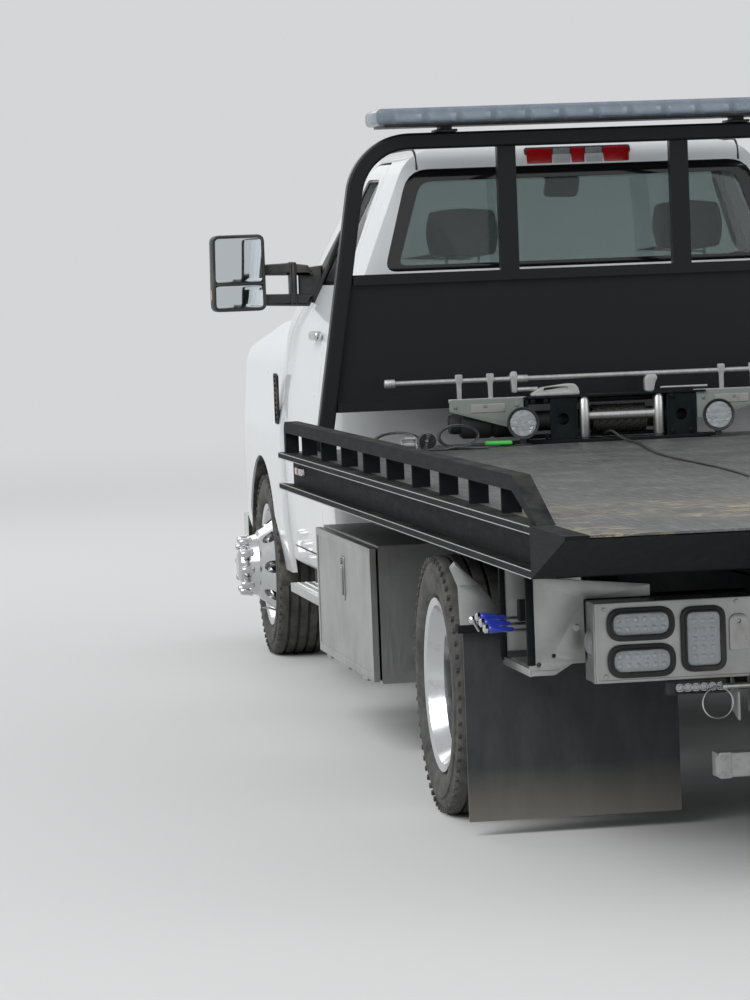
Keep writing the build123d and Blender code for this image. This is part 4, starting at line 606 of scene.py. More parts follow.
def make_deck(settings):
    """The deck plate's worn steel, with straw at its rear end."""
    deck = finish("deck_steel", "worn deck steel", settings.deck_grey, 0.42, 0.35, mottle=(7, 6, 0.28, 0.7))
    long_marks = deck.noise(150, 5, 0.7, deck.stretched((0.035, 1, 1)))
    short_marks = deck.noise(90, 6, 0.75, deck.stretched((0.12, 1, 1), (0, 0, 0.12)))
    deck.shade(deck.noise(2.2, 6, 0.65), 0.42, 0.68, 0.6, (0.17, 0.175, 0.17))
    deck.shade(long_marks, 0.53, 0.69, 0.85, (0.3, 0.31, 0.32))
    deck.shade(short_marks, 0.62, 0.74, 0.75, (0.42, 0.42, 0.42))
    deck.shade(deck.noise(6.5, 8, 0.7), 0.6, 0.74, 0.7, (0.25, 0.22, 0.17))
    deck.shade(deck.noise(11, 8, 0.75), 0.66, 0.76, 0.8, (0.11, 0.055, 0.03))
    straw = deck.combine(deck.span(deck.axis("X"), REAR - 0.75, REAR - 1.05), deck.span(deck.noise(1.6, 3), 0.42, 0.55))
    flecks = deck.span(deck.noise(70, 3, 0.6, deck.stretched((1, 0.3, 1), (0, 0, 0.5))), 0.5, 0.62)
    deck.cover(deck.combine(straw, flecks), (0.5, 0.41, 0.23))
    deck.shade(deck.cells(70), 0.12, 0.05, 1, (0.5, 0.42, 0.26), deck.span(deck.noise(3.1, 4), 0.56, 0.66))
    deck.bump(long_marks, 0.15, 0.0008).bump(deck.noise(45, 5), 0.2, 0.001)


def make_soft(settings, dust):
    """Rubber, plastic and cloth."""
    tyre = finish("tyre_rubber", "dusty tyre rubber", (0.022, 0.022, 0.022), 0.75, mottle=(30, 4, 0.6, 0.95),
                  relief=("noise", (320, 4), 0.15, 0.0008))
    tyre.cover(tyre.span(tyre.noise(13, 7, 0.72), 0.38, 0.72, 0.05, 0.5), (0.19, 0.185, 0.168))
    tyre.shade(tyre.noise(2.5, 3), 0.5, 0.7, 0.3, (0.1, 0.09, 0.078))

    rubber = finish("black_rubber", "black rubber sheet", (0.022, 0.026, 0.029), 0.55, mottle=(20, 4, 0.45, 0.75))
    rubber.shade(rubber.axis("Z"), 0.2, 0.03, 0.4, dust)
    rubber.shade(rubber.noise(9, 7, 0.7, rubber.stretched((1, 1, 0.3))), 0.45, 0.8, 0.1, dust)
    rubber.bump(rubber.noise(3.5, 2), 0.25, 0.01).bump(rubber.noise(300, 3), 0.1, 0.0005)

    for key, name, colour, roughness, sheen, scale, amount, thread, strength, distance in (
            ("seat_cloth", "dark seat cloth", (0.035, 0.036, 0.038), 0.85, 0.3, 120, 0.4, (0.06, 0.06, 0.065), 0.4,
             0.001),
            ("webbing", "black webbing", (0.02, 0.021, 0.024), 0.8, 0.2, 160, 0.5, (0.07, 0.07, 0.075), 0.5, 0.0008)):
        woven = finish(key, name, colour, roughness, Sheen_Weight=sheen)
        weave = woven.wave(scale)
        woven.shade(weave, 0.3, 0.7, amount, thread)
        woven.bump(weave, strength, distance)

    finish("black_plastic", "grained black plastic", (0.016, 0.017, 0.018), 0.45, 0,
           ((7, 5, 0.55, 0.5, 0.8, 0.18, dust),), (18, 4, 0.35, 0.6), ("cells", (380,), 0.18, 0.0006))
    finish("trim", "cabin trim", (0.05, 0.052, 0.055), 0.75, 0,
           ((14, 5, 0.55, 0.45, 0.75, 0.4, (0.075, 0.075, 0.078)),), None, ("cells", (420,), 0.2, 0.0006))
    finish("liner", "arch liner", (0.012, 0.012, 0.012), 0.85, 0, ((12, 6, 0.55, 0.45, 0.75, 0.4, dust),))
    finish("grip", "lever grip", settings.grip_blue, 0.3, 0, ((60, 5, 0.55, 0.55, 0.8, 0.5, (0.03, 0.03, 0.1)),),
           Coat_Weight=0.4)
    finish("tag", "green tag", (0.05, 0.55, 0.08), 0.45, 0, ((60, 5, 0.55, 0.5, 0.75, 0.4, (0.1, 0.4, 0.1)),))


def make_glass(settings):
    """Glass, lenses and lamps."""
    glass = finish("dark_glass", "tinted glass", (0.4, 0.47, 0.46), 0.02, Transmission_Weight=0.92, IOR=1.45)
    glass.rough(glass.span(glass.noise(5, 5), 0.55, 0.8), 0.0, 0.12)
    finish("lamp_clear", "clear lamp lens", (0.85, 0.88, 0.9), 0.06, relief=("cells", (48,), 0.55, 0.003),
           Transmission_Weight=0.75, IOR=1.49)
    finish("bar_lens", "light bar lens", (0.42, 0.5, 0.58), 0.12, 0,
           ((14, 5, 0.55, 0.45, 0.75, 0.4, (0.2, 0.25, 0.31)),), (30, 4, 0.08, 0.3), Transmission_Weight=0.6, IOR=1.45)
    finish("lamp_unit", "lamp unit", (0.62, 0.64, 0.66), 0.25, 0.6,
           ((40, 4, 0.55, 0.5, 0.75, 0.4, (0.35, 0.35, 0.36)),))
    finish("band", "black glass band", (0.006, 0.006, 0.007), 0.12, 0, (), (12, 4, 0.06, 0.25),
           ("cells", (900,), 0.03, 0.0002), Coat_Weight=0.5)
    finish("clear", "clear cover glass", (0.93, 0.95, 0.96), 0.02, 0, (), (20, 4, 0.0, 0.06), Transmission_Weight=0.96,
           IOR=1.3)
    for key, name, colour, roughness, through, faded in (
            ("red_lens", "red lamp lens", settings.lens_red, 0.08, 0.35, (0.2, 0.0, 0.005)),
            ("amber_lens", "amber lamp lens", (0.75, 0.22, 0.01), 0.1, 0.3, (0.4, 0.08, 0.0))):
        finish(key, name, colour, roughness, 0, ((30, 4, 0.55, 0.5, 0.8, 0.3, faded),), None,
               ("cells", (160,), 0.3, 0.001), Transmission_Weight=through, Coat_Weight=0.6)


# Operators

class TOW_OT_finishes(bpy.types.Operator):
    """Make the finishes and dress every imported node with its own"""
    bl_idname = "tow.finishes"
    bl_label = "Finishes"

    def execute(self, context):
        settings = context.scene.tow_finishes
        dust = tuple(settings.dust)
        make_paints(settings, dust)
        make_metals(dust)
        make_deck(settings)
        make_soft(settings, dust)
        make_glass(settings)
        slots = {part["node"]: part["material_slot"] for part in frame["record"]["subparts"]}
        glossy = {"headboard", "headboard_panel"}
        for name, node in frame["nodes"].items():
            material = finishes["black_gloss" if name in glossy else slots[name]]
            node.data.materials.clear()
            node.data.materials.append(material)
        return {"FINISHED"}


class TOW_OT_studio(bpy.types.Operator):
    """Set up the camera, the soft light and the floor"""
    bl_idname = "tow.studio"
    bl_label = "Studio"

    def execute(self, context):
        studio = context.scene.tow_studio
        ahead = Vector((cos(studio.camera_turn) * cos(studio.camera_dip),
                        sin(studio.camera_turn) * cos(studio.camera_dip), sin(studio.camera_dip)))
        right = Vector((sin(studio.camera_turn), -cos(studio.camera_turn), 0))
        up = right.cross(ahead)
        turn = Matrix.Rotation(studio.camera_roll, 3, ahead)
        right, up = turn @ right, turn @ up
        lens = bpy.data.cameras.new("camera")
        lens.lens = studio.lens
        lens.sensor_width = 36
        lens.clip_end = 200
        camera = add_object("camera", lens)
        camera.matrix_world = Matrix.Translation(studio.camera_place) @ Matrix((right, up,
                                                                                -ahead)).transposed().to_4x4()
        context.scene.camera = camera
        context.scene.view_settings.view_transform = "Standard"

        for name, kind, place, size, power in (("sky", "SUN", (-6, 7, 10), 0.7, 1.3),
                                               ("key", "AREA", (-9, 9, 9), 7, 420),
                                               ("fill", "AREA", (-7, -10, 7), 8, 200),
                                               ("front", "AREA", (12, 4, 8), 8, 240)):
            lamp = bpy.data.lights.new(name, kind)
            lamp.energy = power
            if kind == "SUN":
                lamp.angle = size
            else:
                lamp.size = size
            lit = add_object(name, lamp)
            lit.location = place
            lit.rotation_euler = (Vector((0, 0, 0.8)) - Vector(place)).to_track_quat("-Z", "Y").to_euler()

        world = bpy.data.worlds.new("studio")
        context.scene.world = world
        world.use_nodes = True
        nodes, links = world.node_tree.nodes, world.node_tree.links
        nodes.clear()
        rays = nodes.new("ShaderNodeLightPath")
        seen = rays.outputs["Is Camera Ray"]
        for kind in ("Is Transmission Ray", "Is Glossy Ray"):
            either = nodes.new("ShaderNodeMath")
            either.operation = "MAXIMUM"
            links.new(seen, either.inputs[0])
            links.new(rays.outputs[kind], either.inputs[1])
            seen = either.outputs["Value"]
        ambient, shown, mix = (nodes.new("ShaderNodeBackground"), nodes.new("ShaderNodeBackground"),
                               nodes.new("ShaderNodeMixShader"))
        ambient.inputs["Color"].default_value = (0.93, 0.96, 1, 1)
        ambient.inputs["Strength"].default_value = 0.62
        shown.inputs["Color"].default_value = (*studio.backdrop, 1)
        out = nodes.new("ShaderNodeOutputWorld")
        links.new(seen, mix.inputs["Fac"])
        links.new(ambient.outputs[0], mix.inputs[1])
        links.new(shown.outputs[0], mix.inputs[2])
        links.new(mix.outputs[0], out.inputs["Surface"])

        clear_selection()
        bpy.ops.mesh.primitive_plane_add(size=500)
        floor = context.active_object
        floor.name = "floor"
        ground = Finish("studio floor", studio.floor_colour, 0.85)
        ground.cover(ground.span(ground.noise(0.8, 3), 0.3, 0.8, 0, 0.06), (0.6, 0.6, 0.6))
        shown = ground.node("ShaderNodeEmission", Color=(*studio.backdrop, 1))
        reach = ground.nodes.new("ShaderNodeVectorMath")
        reach.operation = "LENGTH"
        ground.links.new(ground.place, reach.inputs[0])
        fade = ground.nodes.new("ShaderNodeMixShader")
        floor_ends, backdrop_starts = 7, 26
        ground.links.new(ground.span(reach.outputs["Value"], floor_ends, backdrop_starts), fade.inputs["Fac"])
        ground.links.new(ground.shader.outputs[0], fade.inputs[1])
        ground.links.new(shown.outputs[0], fade.inputs[2])
        ground.links.new(fade.outputs[0], ground.nodes["Material Output"].inputs["Surface"])
        floor.data.materials.append(ground.material)
        apply_place()
        clear_selection()
        return {"FINISHED"}


class TOW_OT_tyres(bpy.types.Operator):
    """Model the tyres, with grooved treads and ribbed sidewalls, in place of the plain ones"""
    bl_idname = "tow.tyres"
    bl_label = "Tyres"

    def execute(self, context):
        wheels = context.scene.tow_wheels
        low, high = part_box("front_tyre_left")
        radius, half = (high[2] - low[2]) / 2, (high[1] - low[1]) / 2
        deep, wide = wheels.groove_depth, wheels.groove_width
        rows = [(-0.086, 0.262), (-0.094, 0.27), (-0.103, 0.279), (-half + 0.003, 0.296), (-half, 0.318),
                (-half + 0.001, 0.338), (-half + 0.006, 0.342), (-half + 0.005, 0.352), (-half + 0.011, 0.366),
                (-0.098, radius - 0.006), (-0.092, radius - 0.002)]
        for middle in (-0.062, -0.021, 0.021, 0.062):
            rows += [(middle - wide / 2 - 0.002, radius), (middle - wide / 2 + 0.001, radius - deep),
                     (middle + wide / 2 - 0.001, radius - deep), (middle + wide / 2 + 0.002, radius)]
        rows += [(-across, up) for across, up in reversed(rows[:11])]
        for side in SIDES:
            for node, body, places in ((f"front_tyre_{side}", f"front_wheel_{side}", (FRONT,)),
                                       (f"rear_tyres_{side}", f"rear_wheels_{side}", (REAR, REAR))):
                low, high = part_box(node)
                middles = ((low[1] + half, high[1] - half) if len(places) > 1 else ((low[1] + high[1]) / 2,))
                made = []
                for x, y in zip(places, middles):
                    tyre = turned(rows, (x, y, AXLE), Y, 96)
                    lug = block((x - 0.006, y + half - 0.0145, AXLE + 0.3685),
                                (x + 0.006, y + half - 0.0045, AXLE + 0.383), 0.001, 1)
                    outer = ring(lug, (x, y, AXLE), "Y", 60)
                    pick(outer)
                    bpy.ops.object.join()
                    made += [tyre, context.active_object]
                settle(made, f"{node}_tread", body, "tyre_rubber", replaces=(node,), angle=30)
        return {"FINISHED"}


class TOW_OT_rope(bpy.types.Operator):
    """Lay the winch rope from its drum over the deck to the hook"""
    bl_idname = "tow.rope"
    bl_label = "Winch rope"

    def execute(self, context):
        lying = 0.9665
        sway = (-0.03, -0.014, 0.003, 0.023, 0.044, 0.063, 0.081, 0.096, 0.108, 0.117, 0.123, 0.127, 0.129, 0.132,
                0.136, 0.142, 0.15, 0.16, 0.171, 0.184)
        route = [(3.03, 0.012, 0.9865), (2.975, 0.01, 1.0), (2.915, 0.002, 0.999), (2.855, -0.012, 0.978),
                 (2.79, -0.024, 0.9675), *[(2.7 - 0.135 * number, y, lying) for number, y in enumerate(sway)],
                 (0.01, 0.197, lying), (-0.11, 0.21, lying)]
        route = [(REAR + x, y, z) for x, y, z in route]
        clear_selection()
        rope = line("winch_line", route, 0.00475, 3, True)
        rope.data.materials.append(finishes["rope_steel"])
        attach(rope, "deck")
        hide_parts("winch_rope")
        return {"FINISHED"}


class TOW_OT_light_bar(bpy.types.Operator):
    """Build the roof light bar: dark base and feet, lamp modules and a long clear lens"""
    bl_idname = "tow.light_bar"
    bl_label = "Light bar"

    def execute(self, context):
        low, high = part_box("light_bar")
        middle, half = (low[0] + high[0]) / 2, high[1]
        base = [block((low[0] + 0.02, -half + 0.03, low[2] + 0.022), (high[0] - 0.02, half - 0.03, low[2] + 0.036),
                      0.004)]
        for y in (-0.56, 0.56):
            foot = block((middle - 0.06, y - 0.04, low[2]), (middle + 0.06, y + 0.04, low[2] + 0.01), 0.003)
            neck = block((middle - 0.045, y - 0.022, low[2] + 0.005), (middle + 0.045, y + 0.022, low[2] + 0.026),
                         0.006, 3)
            base += [foot, neck]
        step = (half * 2 - 0.12) / 12
        divider = block((low[0] + 0.03, -half + 0.056, low[2] + 0.034),
                        (high[0] - 0.03, -half + 0.064, high[2] - 0.012), 0.001, 1)
        base += spaced(divider, (0, step, 0), 12)
        settle(base, "light_bar_base", "deck", "black_plastic", replaces=("light_bar",))
        lens = block((low[0], -half, low[2] + 0.03), (high[0], half, high[2]), 0.02, 5)
        settle([lens], "light_bar_lens", "deck", "lamp_clear", "bar_lens")
        bowl = plate([rounded([(-0.05, 0), (0.05, 0), (0.056, 0.034), (-0.056, 0.034)], 0.006)],
                     (low[0] + 0.045, -half + 0.06 + step / 2, low[2] + 0.036), Y, Z, 0.02, 0.002)
        glow = block((low[0] + 0.03, -half + 0.075, low[2] + 0.044),
                     (low[0] + 0.046, -half + 0.045 + step, low[2] + 0.066), 0.004)
        modules = []
        for piece in spaced(bowl, (0, step, 0), 11) + spaced(glow, (0, step, 0), 11):
            modules += ring(piece, (middle, 0, 0), "Z", 2)
        settle(modules, "light_bar_modules", "deck", "lamp_clear", "chrome")
        return {"FINISHED"}


class TOW_OT_winch(bpy.types.Operator):
    """Build the winch: black plates between painted covers, drum, rollers, and the zinc free-spool linkage"""
    bl_idname = "tow.winch"
    bl_label = "Winch"

    def execute(self, context):
        x, top, low = REAR + 3.01, 1.131, DECK
        black = [along_plate(y - 0.006, square(x - 0.05, low, x + 0.08, top), 0.012, 0.012)
                 for y in (0.318, 0.132, -0.222, -0.322)]
        for inner, outer in ((0.132, 0.23), (-0.318, -0.222)):
            black.append(across_plate(x - 0.05, square(inner, low + 0.01, outer, top), 0.01, 0.006, 0.001,
                                      [circle((inner + outer) / 2, 1.05, 0.022)]))
        black += [block((x - 0.055, -0.365, top), (x + 0.085, 0.33, top + 0.008), 0.002),
                  block((x - 0.06, -0.42, low), (x + 0.09, 0.42, low + 0.012), 0.002)]
        head = bolt((x - 0.05, 0.246, 1.12), BACK)
        black += copies(head, [(0, 0, -0.13), (0, 0.05, 0), (0, -0.48, 0), (0, -0.48, -0.13), (0, -0.55, -0.13)])
        settle(black, "winch_plates", "deck", "black_paint", replaces=("winch",))

        green = []
        for side in (1, -1):
            green.append(across_plate(x - 0.046, [(side * 0.33, top + 0.008), (side * 0.61, top + 0.008),
                                                  (side * 0.611, 1.094), (side * 0.398, 1.031),
                                                  (side * 0.33, 1.031)][::side], 0.006, 0.008))
        head = bolt((x - 0.046, 0.355, top - 0.02), BACK, 0.006)
        green += both(copies(head, [(0, 0.12, 0), (0, 0.235, 0), (0, 0.01, -0.06)]))
        recess = across_plate(x - 0.0475, square(0.4, 1.087, 0.53, 1.119), 0.002, 0.003, 0.0005)
        settle(green, "winch_covers", "deck", "grey_green_paint")
        settle(both([recess]), "winch_cover_patches", "deck", "bare_steel")

        steel = [rod((x + 0.034, -0.318, 1.045), Y, 0.918, 0.038, 32, (0.02, 0.004)),
                 turned([(0, 0), (0, 0.052), (0.01, 0.056), (0.11, 0.056), (0.115, 0.052), (0.127, 0.052),
                         (0.132, 0.056), (0.23, 0.056), (0.242, 0.048), (0.242, 0)], (x + 0.034, 0.318, 1.045), Y, 40)]
        steel += [rod((x + 0.034, y - 0.004, 1.045), Y, 0.008, 0.058, 40, (0.002, 0.002)) for y in (0.126, -0.216)]
        steel += [rod((x + 0.068, -0.318, z), Y, 0.636, 0.008) for z in (top - 0.014, low + 0.024)]
        settle(steel, "winch_drum", "deck", "cast_iron")
        rollers = [turned([(0, 0), (0, 0.016), (0.008, 0.0175), (0.012, 0.02), (0.148, 0.02), (0.152, 0.0175),
                           (0.16, 0.016), (0.16, 0)], (x - 0.03, y, low + 0.01), Z, 28) for y in (0.098, -0.186)]
        rollers.append(rod((x - 0.02, -0.19, 1.058), Y, 0.292, 0.018, 28, (0.004, 0.003)))
        settle(rollers, "winch_rollers", "deck", "bare_steel", "bright_steel")
        lay = turned([(0.0, 0.038)] + [(0.0095 * n / 2, 0.0495 + 0.0035 * (n % 2)) for n in range(1, 44)]
                     + [(0.21, 0.05), (0.21, 0.038)], (x + 0.034, -0.15, 1.045), Y, 32)
        settle([lay], "winch_windings", "deck", "rope_steel")

        zinc = [turned([(0, 0), (0, 0.014), (0.003, 0.016), (0.038, 0.016), (0.04, 0.014), (0.04, 0.009),
                        (1.658, 0.009), (1.658, 0.014), (1.66, 0.016), (1.695, 0.016), (1.698, 0.014), (1.698, 0)],
                       (x - 0.03, -0.849, 1.208), Y, 24),
                rod((x - 0.03, 0.308, 1.208), Y, 0.042, 0.0135, 20, (0.002, 0.001)),
                rod((x - 0.03, 0.272, 1.167), Y, 0.09, 0.0085, 16, (0.002, 0.001)),
                rod((x - 0.036, -0.375, 1.153), Y, 0.18, 0.0045)]
        for y in (0.57, 0.452, -0.43, -0.55):
            zinc.append(across_plate(x - 0.041, [(y - 0.008, top), (y + 0.008, top), (y + 0.009, 1.196),
                                                 (y + 0.014, 1.205), (y + 0.014, 1.232), (y - 0.014, 1.232),
                                                 (y - 0.014, 1.205), (y - 0.009, 1.196)], 0.01))
        for near, far in ((-0.612, -0.32), (0.32, 0.612)):
            zinc.append(block((x - 0.042, near, top - 0.004), (x - 0.032, far, top + 0.01), 0.002))
        zinc.append(across_plate(x - 0.044, [(0.352, 1.155), (0.37, 1.155), (0.374, 1.2), (0.38, 1.215), (0.37, 1.236),
                                             (0.352, 1.236), (0.346, 1.215), (0.35, 1.2)], 0.026, 0.007, 0.004))
        settle(zinc, "winch_linkage", "deck", "galvanised")
        slot = rounded(square(0.16, 1.154, 0.25, 1.17), 0.007)
        casting = [across_plate(x - 0.046, [(0.3, 1.139), (0.3, 1.15), (0.262, 1.172), (0.16, 1.183), (0.132, 1.181),
                                            (0.118, 1.165), (0.113, 1.139)], 0.03, 0.01, 0.004, [slot]),
                   across_plate(x - 0.04, [(0.29, 1.139), (0.28, 1.156), (0.15, 1.172), (0.12, 1.139)], 0.012, 0.008),
                   across_plate(x - 0.046, [(-0.136, 1.139), (-0.134, 1.19), (-0.145, 1.204), (-0.178, 1.204),
                                            (-0.186, 1.19), (-0.176, 1.176), (-0.168, 1.139)], 0.03, 0.01, 0.004)]
        settle(casting, "winch_clutch", "deck", "galvanised", "cast_light")
        return {"FINISHED"}


class TOW_OT_work_lamps(bpy.types.Operator):
    """Build the two round floodlights beside the winch"""
    bl_idname = "tow.work_lamps"
    bl_label = "Work lamps"

    def execute(self, context):
        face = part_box("work_lamps")[0][0]
        shells, bowls, lenses = [], [], []
        for y in (-0.4, 0.345):
            centre = (face, y, 1.044)
            shells.append(turned([(0.002, 0.052), (0, 0.056), (0, 0.06), (0.012, 0.06), (0.016, 0.055), (0.03, 0.05),
                                  (0.046, 0.03), (0.047, 0), (0.043, 0), (0.042, 0.027), (0.028, 0.046), (0.004, 0.05)],
                                 centre, X, 40))
            fin = block((face + 0.018, y - 0.045, 1.0425), (face + 0.046, y + 0.045, 1.0455), 0.001, 1)
            shells += copies(fin, [(0, 0, 0.012), (0, 0, -0.012), (0, 0, 0.024), (0, 0, -0.024)])
            shells.append(block((face + 0.014, y - 0.012, DECK), (face + 0.03, y + 0.012, 1.0), 0.002))
            shells.append(block((face + 0.008, y - 0.03, DECK), (face + 0.036, y + 0.03, DECK + 0.006), 0.002))
            bowls.append(turned([(0.006, 0.05), (0.02, 0.044), (0.027, 0.03), (0.03, 0.0)], centre, X, 32))
            eye = turned([(0.01, 0), (0.011, 0.007), (0.016, 0.011), (0.028, 0.012), (0.028, 0)], centre, X, 16)
            eye, outer = copies(eye, [(0, 0.026, 0)])
            bowls += [eye, *ring(outer, centre, "X", 6)]
            lenses.append(turned([(0.006, 0.05), (0.002, 0.049), (0.0005, 0.03), (0, 0), (0.003, 0), (0.0035, 0.03),
                                  (0.005, 0.049)], centre, X, 40, True))
        settle(shells, "lamp_housings", "deck", "black_plastic", replaces=("work_lamps",))
        settle(bowls, "lamp_reflectors", "deck", "lamp_clear", "chrome")
        settle(lenses, "lamp_lenses", "deck", "lamp_clear")
        return {"FINISHED"}


class TOW_OT_tail_lamps(bpy.types.Operator):
    """Build the tail lamps: rubber grommets, lamp units behind clear lenses, the slot covers and the strips below"""
    bl_idname = "tow.tail_lamps"
    bl_label = "Tail lamps"

    def execute(self, context):
        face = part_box("tail_lamps")[0][0]
        rubbers, units, lenses = [], [], []
        dot = turned([(0, 0.009), (-0.002, 0.0075), (-0.003, 0.004), (-0.0035, 0)], (face + 0.0095, 0, 0), X, 10)
        for y, z, wide, tall, corner in ((0.806, 0.641, 0.19, 0.092, 0.044), (0.806, 0.54, 0.19, 0.092, 0.044),
                                         (0.632, 0.592, 0.126, 0.18, 0.036)):
            def outline(inset):
                a, b = wide / 2 - inset, tall / 2 - inset
                return rounded(square(y - a, z - b, y + a, z + b), corner - inset, 8)

            rubbers += [across_plate(face, outline(0), 0.012, 0, 0.003, [outline(0.016)]),
                        across_plate(face - 0.004, outline(0.01), 0.01, 0, 0.003, [outline(0.0165)])]
            units.append(across_plate(face + 0.009, outline(0.0155), 0.003, 0, 0))
            lenses.append(across_plate(face + 0.002, outline(0.0165), 0.006, 0, 0.002))
            rim, pitch, gap = 0.03, 0.028, 0.0245
            rows, columns = round((tall - rim) / pitch), round((wide - rim) / pitch)
            for number in range(rows * columns):
                row, column = divmod(number, columns)
                spot = (0, y + (column - (columns - 1) / 2) * gap, z + (row - (rows - 1) / 2) * gap)
                units.append(copies(dot, [spot])[1])
        bpy.data.objects.remove(dot)
        x = REAR - 1.118
        strip = across_plate(x - 0.012, square(0.572, 0.441, 0.74, 0.479), 0.035, 0.006, 0.004,
                             [rounded(square(0.577, 0.446, 0.716, 0.474), 0.004)])
        strip_back = block((x - 0.004, 0.574, 0.443), (x + 0.02, 0.738, 0.482), 0.002)
        strip_lens = block((x - 0.011, 0.578, 0.447), (x - 0.005, 0.715, 0.473), 0.002)
        optic = turned([(-0.002, 0.0115), (-0.006, 0.0115), (-0.006, 0.0095), (-0.003, 0.007), (-0.0035, 0.004),
                        (-0.006, 0.003), (-0.006, 0)], (x - 0.004, 0.59, 0.46), X, 20)
        optics = spaced(optic, (0, 0.0228, 0), 5)
        settle(both(rubbers), "lamp_grommets", "chassis", "black_rubber", "black_plastic", replaces=("tail_lamps",))
        settle(both([strip, strip_back]), "strip_housings", "chassis", "black_plastic")
        settle(both(units) + both(optics), "lamp_units", "chassis", "lamp_clear", "lamp_unit")
        settle(both(lenses), "tail_lenses", "chassis", "lamp_clear")
        settle(both([strip_lens]), "strip_lenses", "chassis", "lamp_clear", "clear")
        dome = turned([(0.018, 0), (0.017, 0.012), (0.013, 0.025), (0.006, 0.034), (0, 0.037), (0, 0)],
                      (REAR - 1.06, 0.934, 0.592), Y, 32)
        settle(both([dome]), "side_domes", "chassis", "lamp_clear")

        slot = across_plate(x - 0.006, [(0.504, 0.556), (0.558, 0.556), (0.558, 0.656, 0.026), (0.504, 0.656, 0.026)],
                            0.006, 0.004, 0.001, [circle(0.531, 0.636, 0.006, 12)])
        screws = [bolt((x, y, z), BACK, 0.006) for y, z in ((0.906, 0.684), (0.536, 0.69), (0.906, 0.5), (0.49, 0.5))]
        lip = block((x - 0.001, 0.934, 0.482), (x + 0.03, 0.9375, 0.702), 0.001)
        hem = across_plate(x - 0.003, square(0.452, 0.482, 0.934, 0.702), 0.003, 0.006, 0.001,
                           [rounded(square(0.462, 0.49, 0.926, 0.694), 0.004)])
        settle(both([slot]), "light_box_slots", "chassis", "bare_steel")
        settle(both([*screws, lip, hem]), "light_box_trim", "chassis", "stainless")
        return {"FINISHED"}


class TOW_OT_mirrors(bpy.types.Operator):
    """Build the towing mirrors: housings, glasses, arms with their cuff, and sails"""
    bl_idname = "tow.mirrors"
    bl_label = "Mirrors"

    def execute(self, context):
        x = REAR + 4.41
        head = across_plate(x - 0.052, [(1.1, 1.486), (1.318, 1.486), (1.314, 1.794), (1.1, 1.794)], 0.104, 0.03, 0.018)
        lip = across_plate(x - 0.06, [(1.102, 1.488), (1.316, 1.488), (1.312, 1.792), (1.102, 1.792)], 0.015, 0.028,
                           0.003, [rounded([(1.113, 1.498), (1.306, 1.498), (1.302, 1.782), (1.113, 1.782)], 0.02)])
        divider = block((x - 0.059, 1.108, 1.592), (x - 0.04, 1.31, 1.601), 0.001, 1)
        arms = [across_plate(x - 0.022, [(0.9, 1.62), (1.12, 1.627), (1.12, 1.67), (1.0, 1.674), (0.92, 1.662)], 0.05,
                             0.006, 0.012), across_plate(x - 0.022,
                                                         [(0.92, 1.496), (1.12, 1.505), (1.12, 1.552), (0.9, 1.546)],
                                                         0.05, 0.006, 0.012),
                across_plate(x - 0.03, [(0.97, 1.5), (1.0, 1.503), (1.0, 1.678), (0.97, 1.676)], 0.066, 0.006, 0.01),
                across_plate(x - 0.01, [(0.86, 1.5), (0.96, 1.52), (0.96, 1.65), (0.86, 1.66)], 0.04, 0.006, 0.01)]
        sail = plate([rounded([(-FRONT + 0.77, -0.02), (-FRONT + 1.01, -0.02), (-FRONT + 1.07, 0.24),
                               (-FRONT + 1.045, 0.255)], 0.012)], (0, 0.873, 1.56), BACK, (0, -0.386, 0.923), 0.016,
                     0.004)
        main = across_plate(x - 0.0545, [(1.114, 1.603), (1.304, 1.603), (1.301, 1.781), (1.114, 1.781)], 0.004, 0.018)
        wide_view = across_plate(x - 0.056, [(1.114, 1.499), (1.305, 1.499), (1.304, 1.59), (1.114, 1.59)], 0.006,
                                 0.018, 0.002)
        spot = along_plate(1.3165, square(x - 0.03, 1.535, x - 0.008, 1.575), 0.003)
        settle_sides([head, lip, divider, *arms, sail], "mirror_housing_{}", "door_{}", "black_plastic",
                     replaces="mirror_{}")
        settle_sides([main, wide_view], "mirror_glass_{}", "door_{}", "polished_rim", "mirror")
        settle_sides([spot], "mirror_reflector_{}", "door_{}", "lamp_clear", "amber_lens")
        return {"FINISHED"}


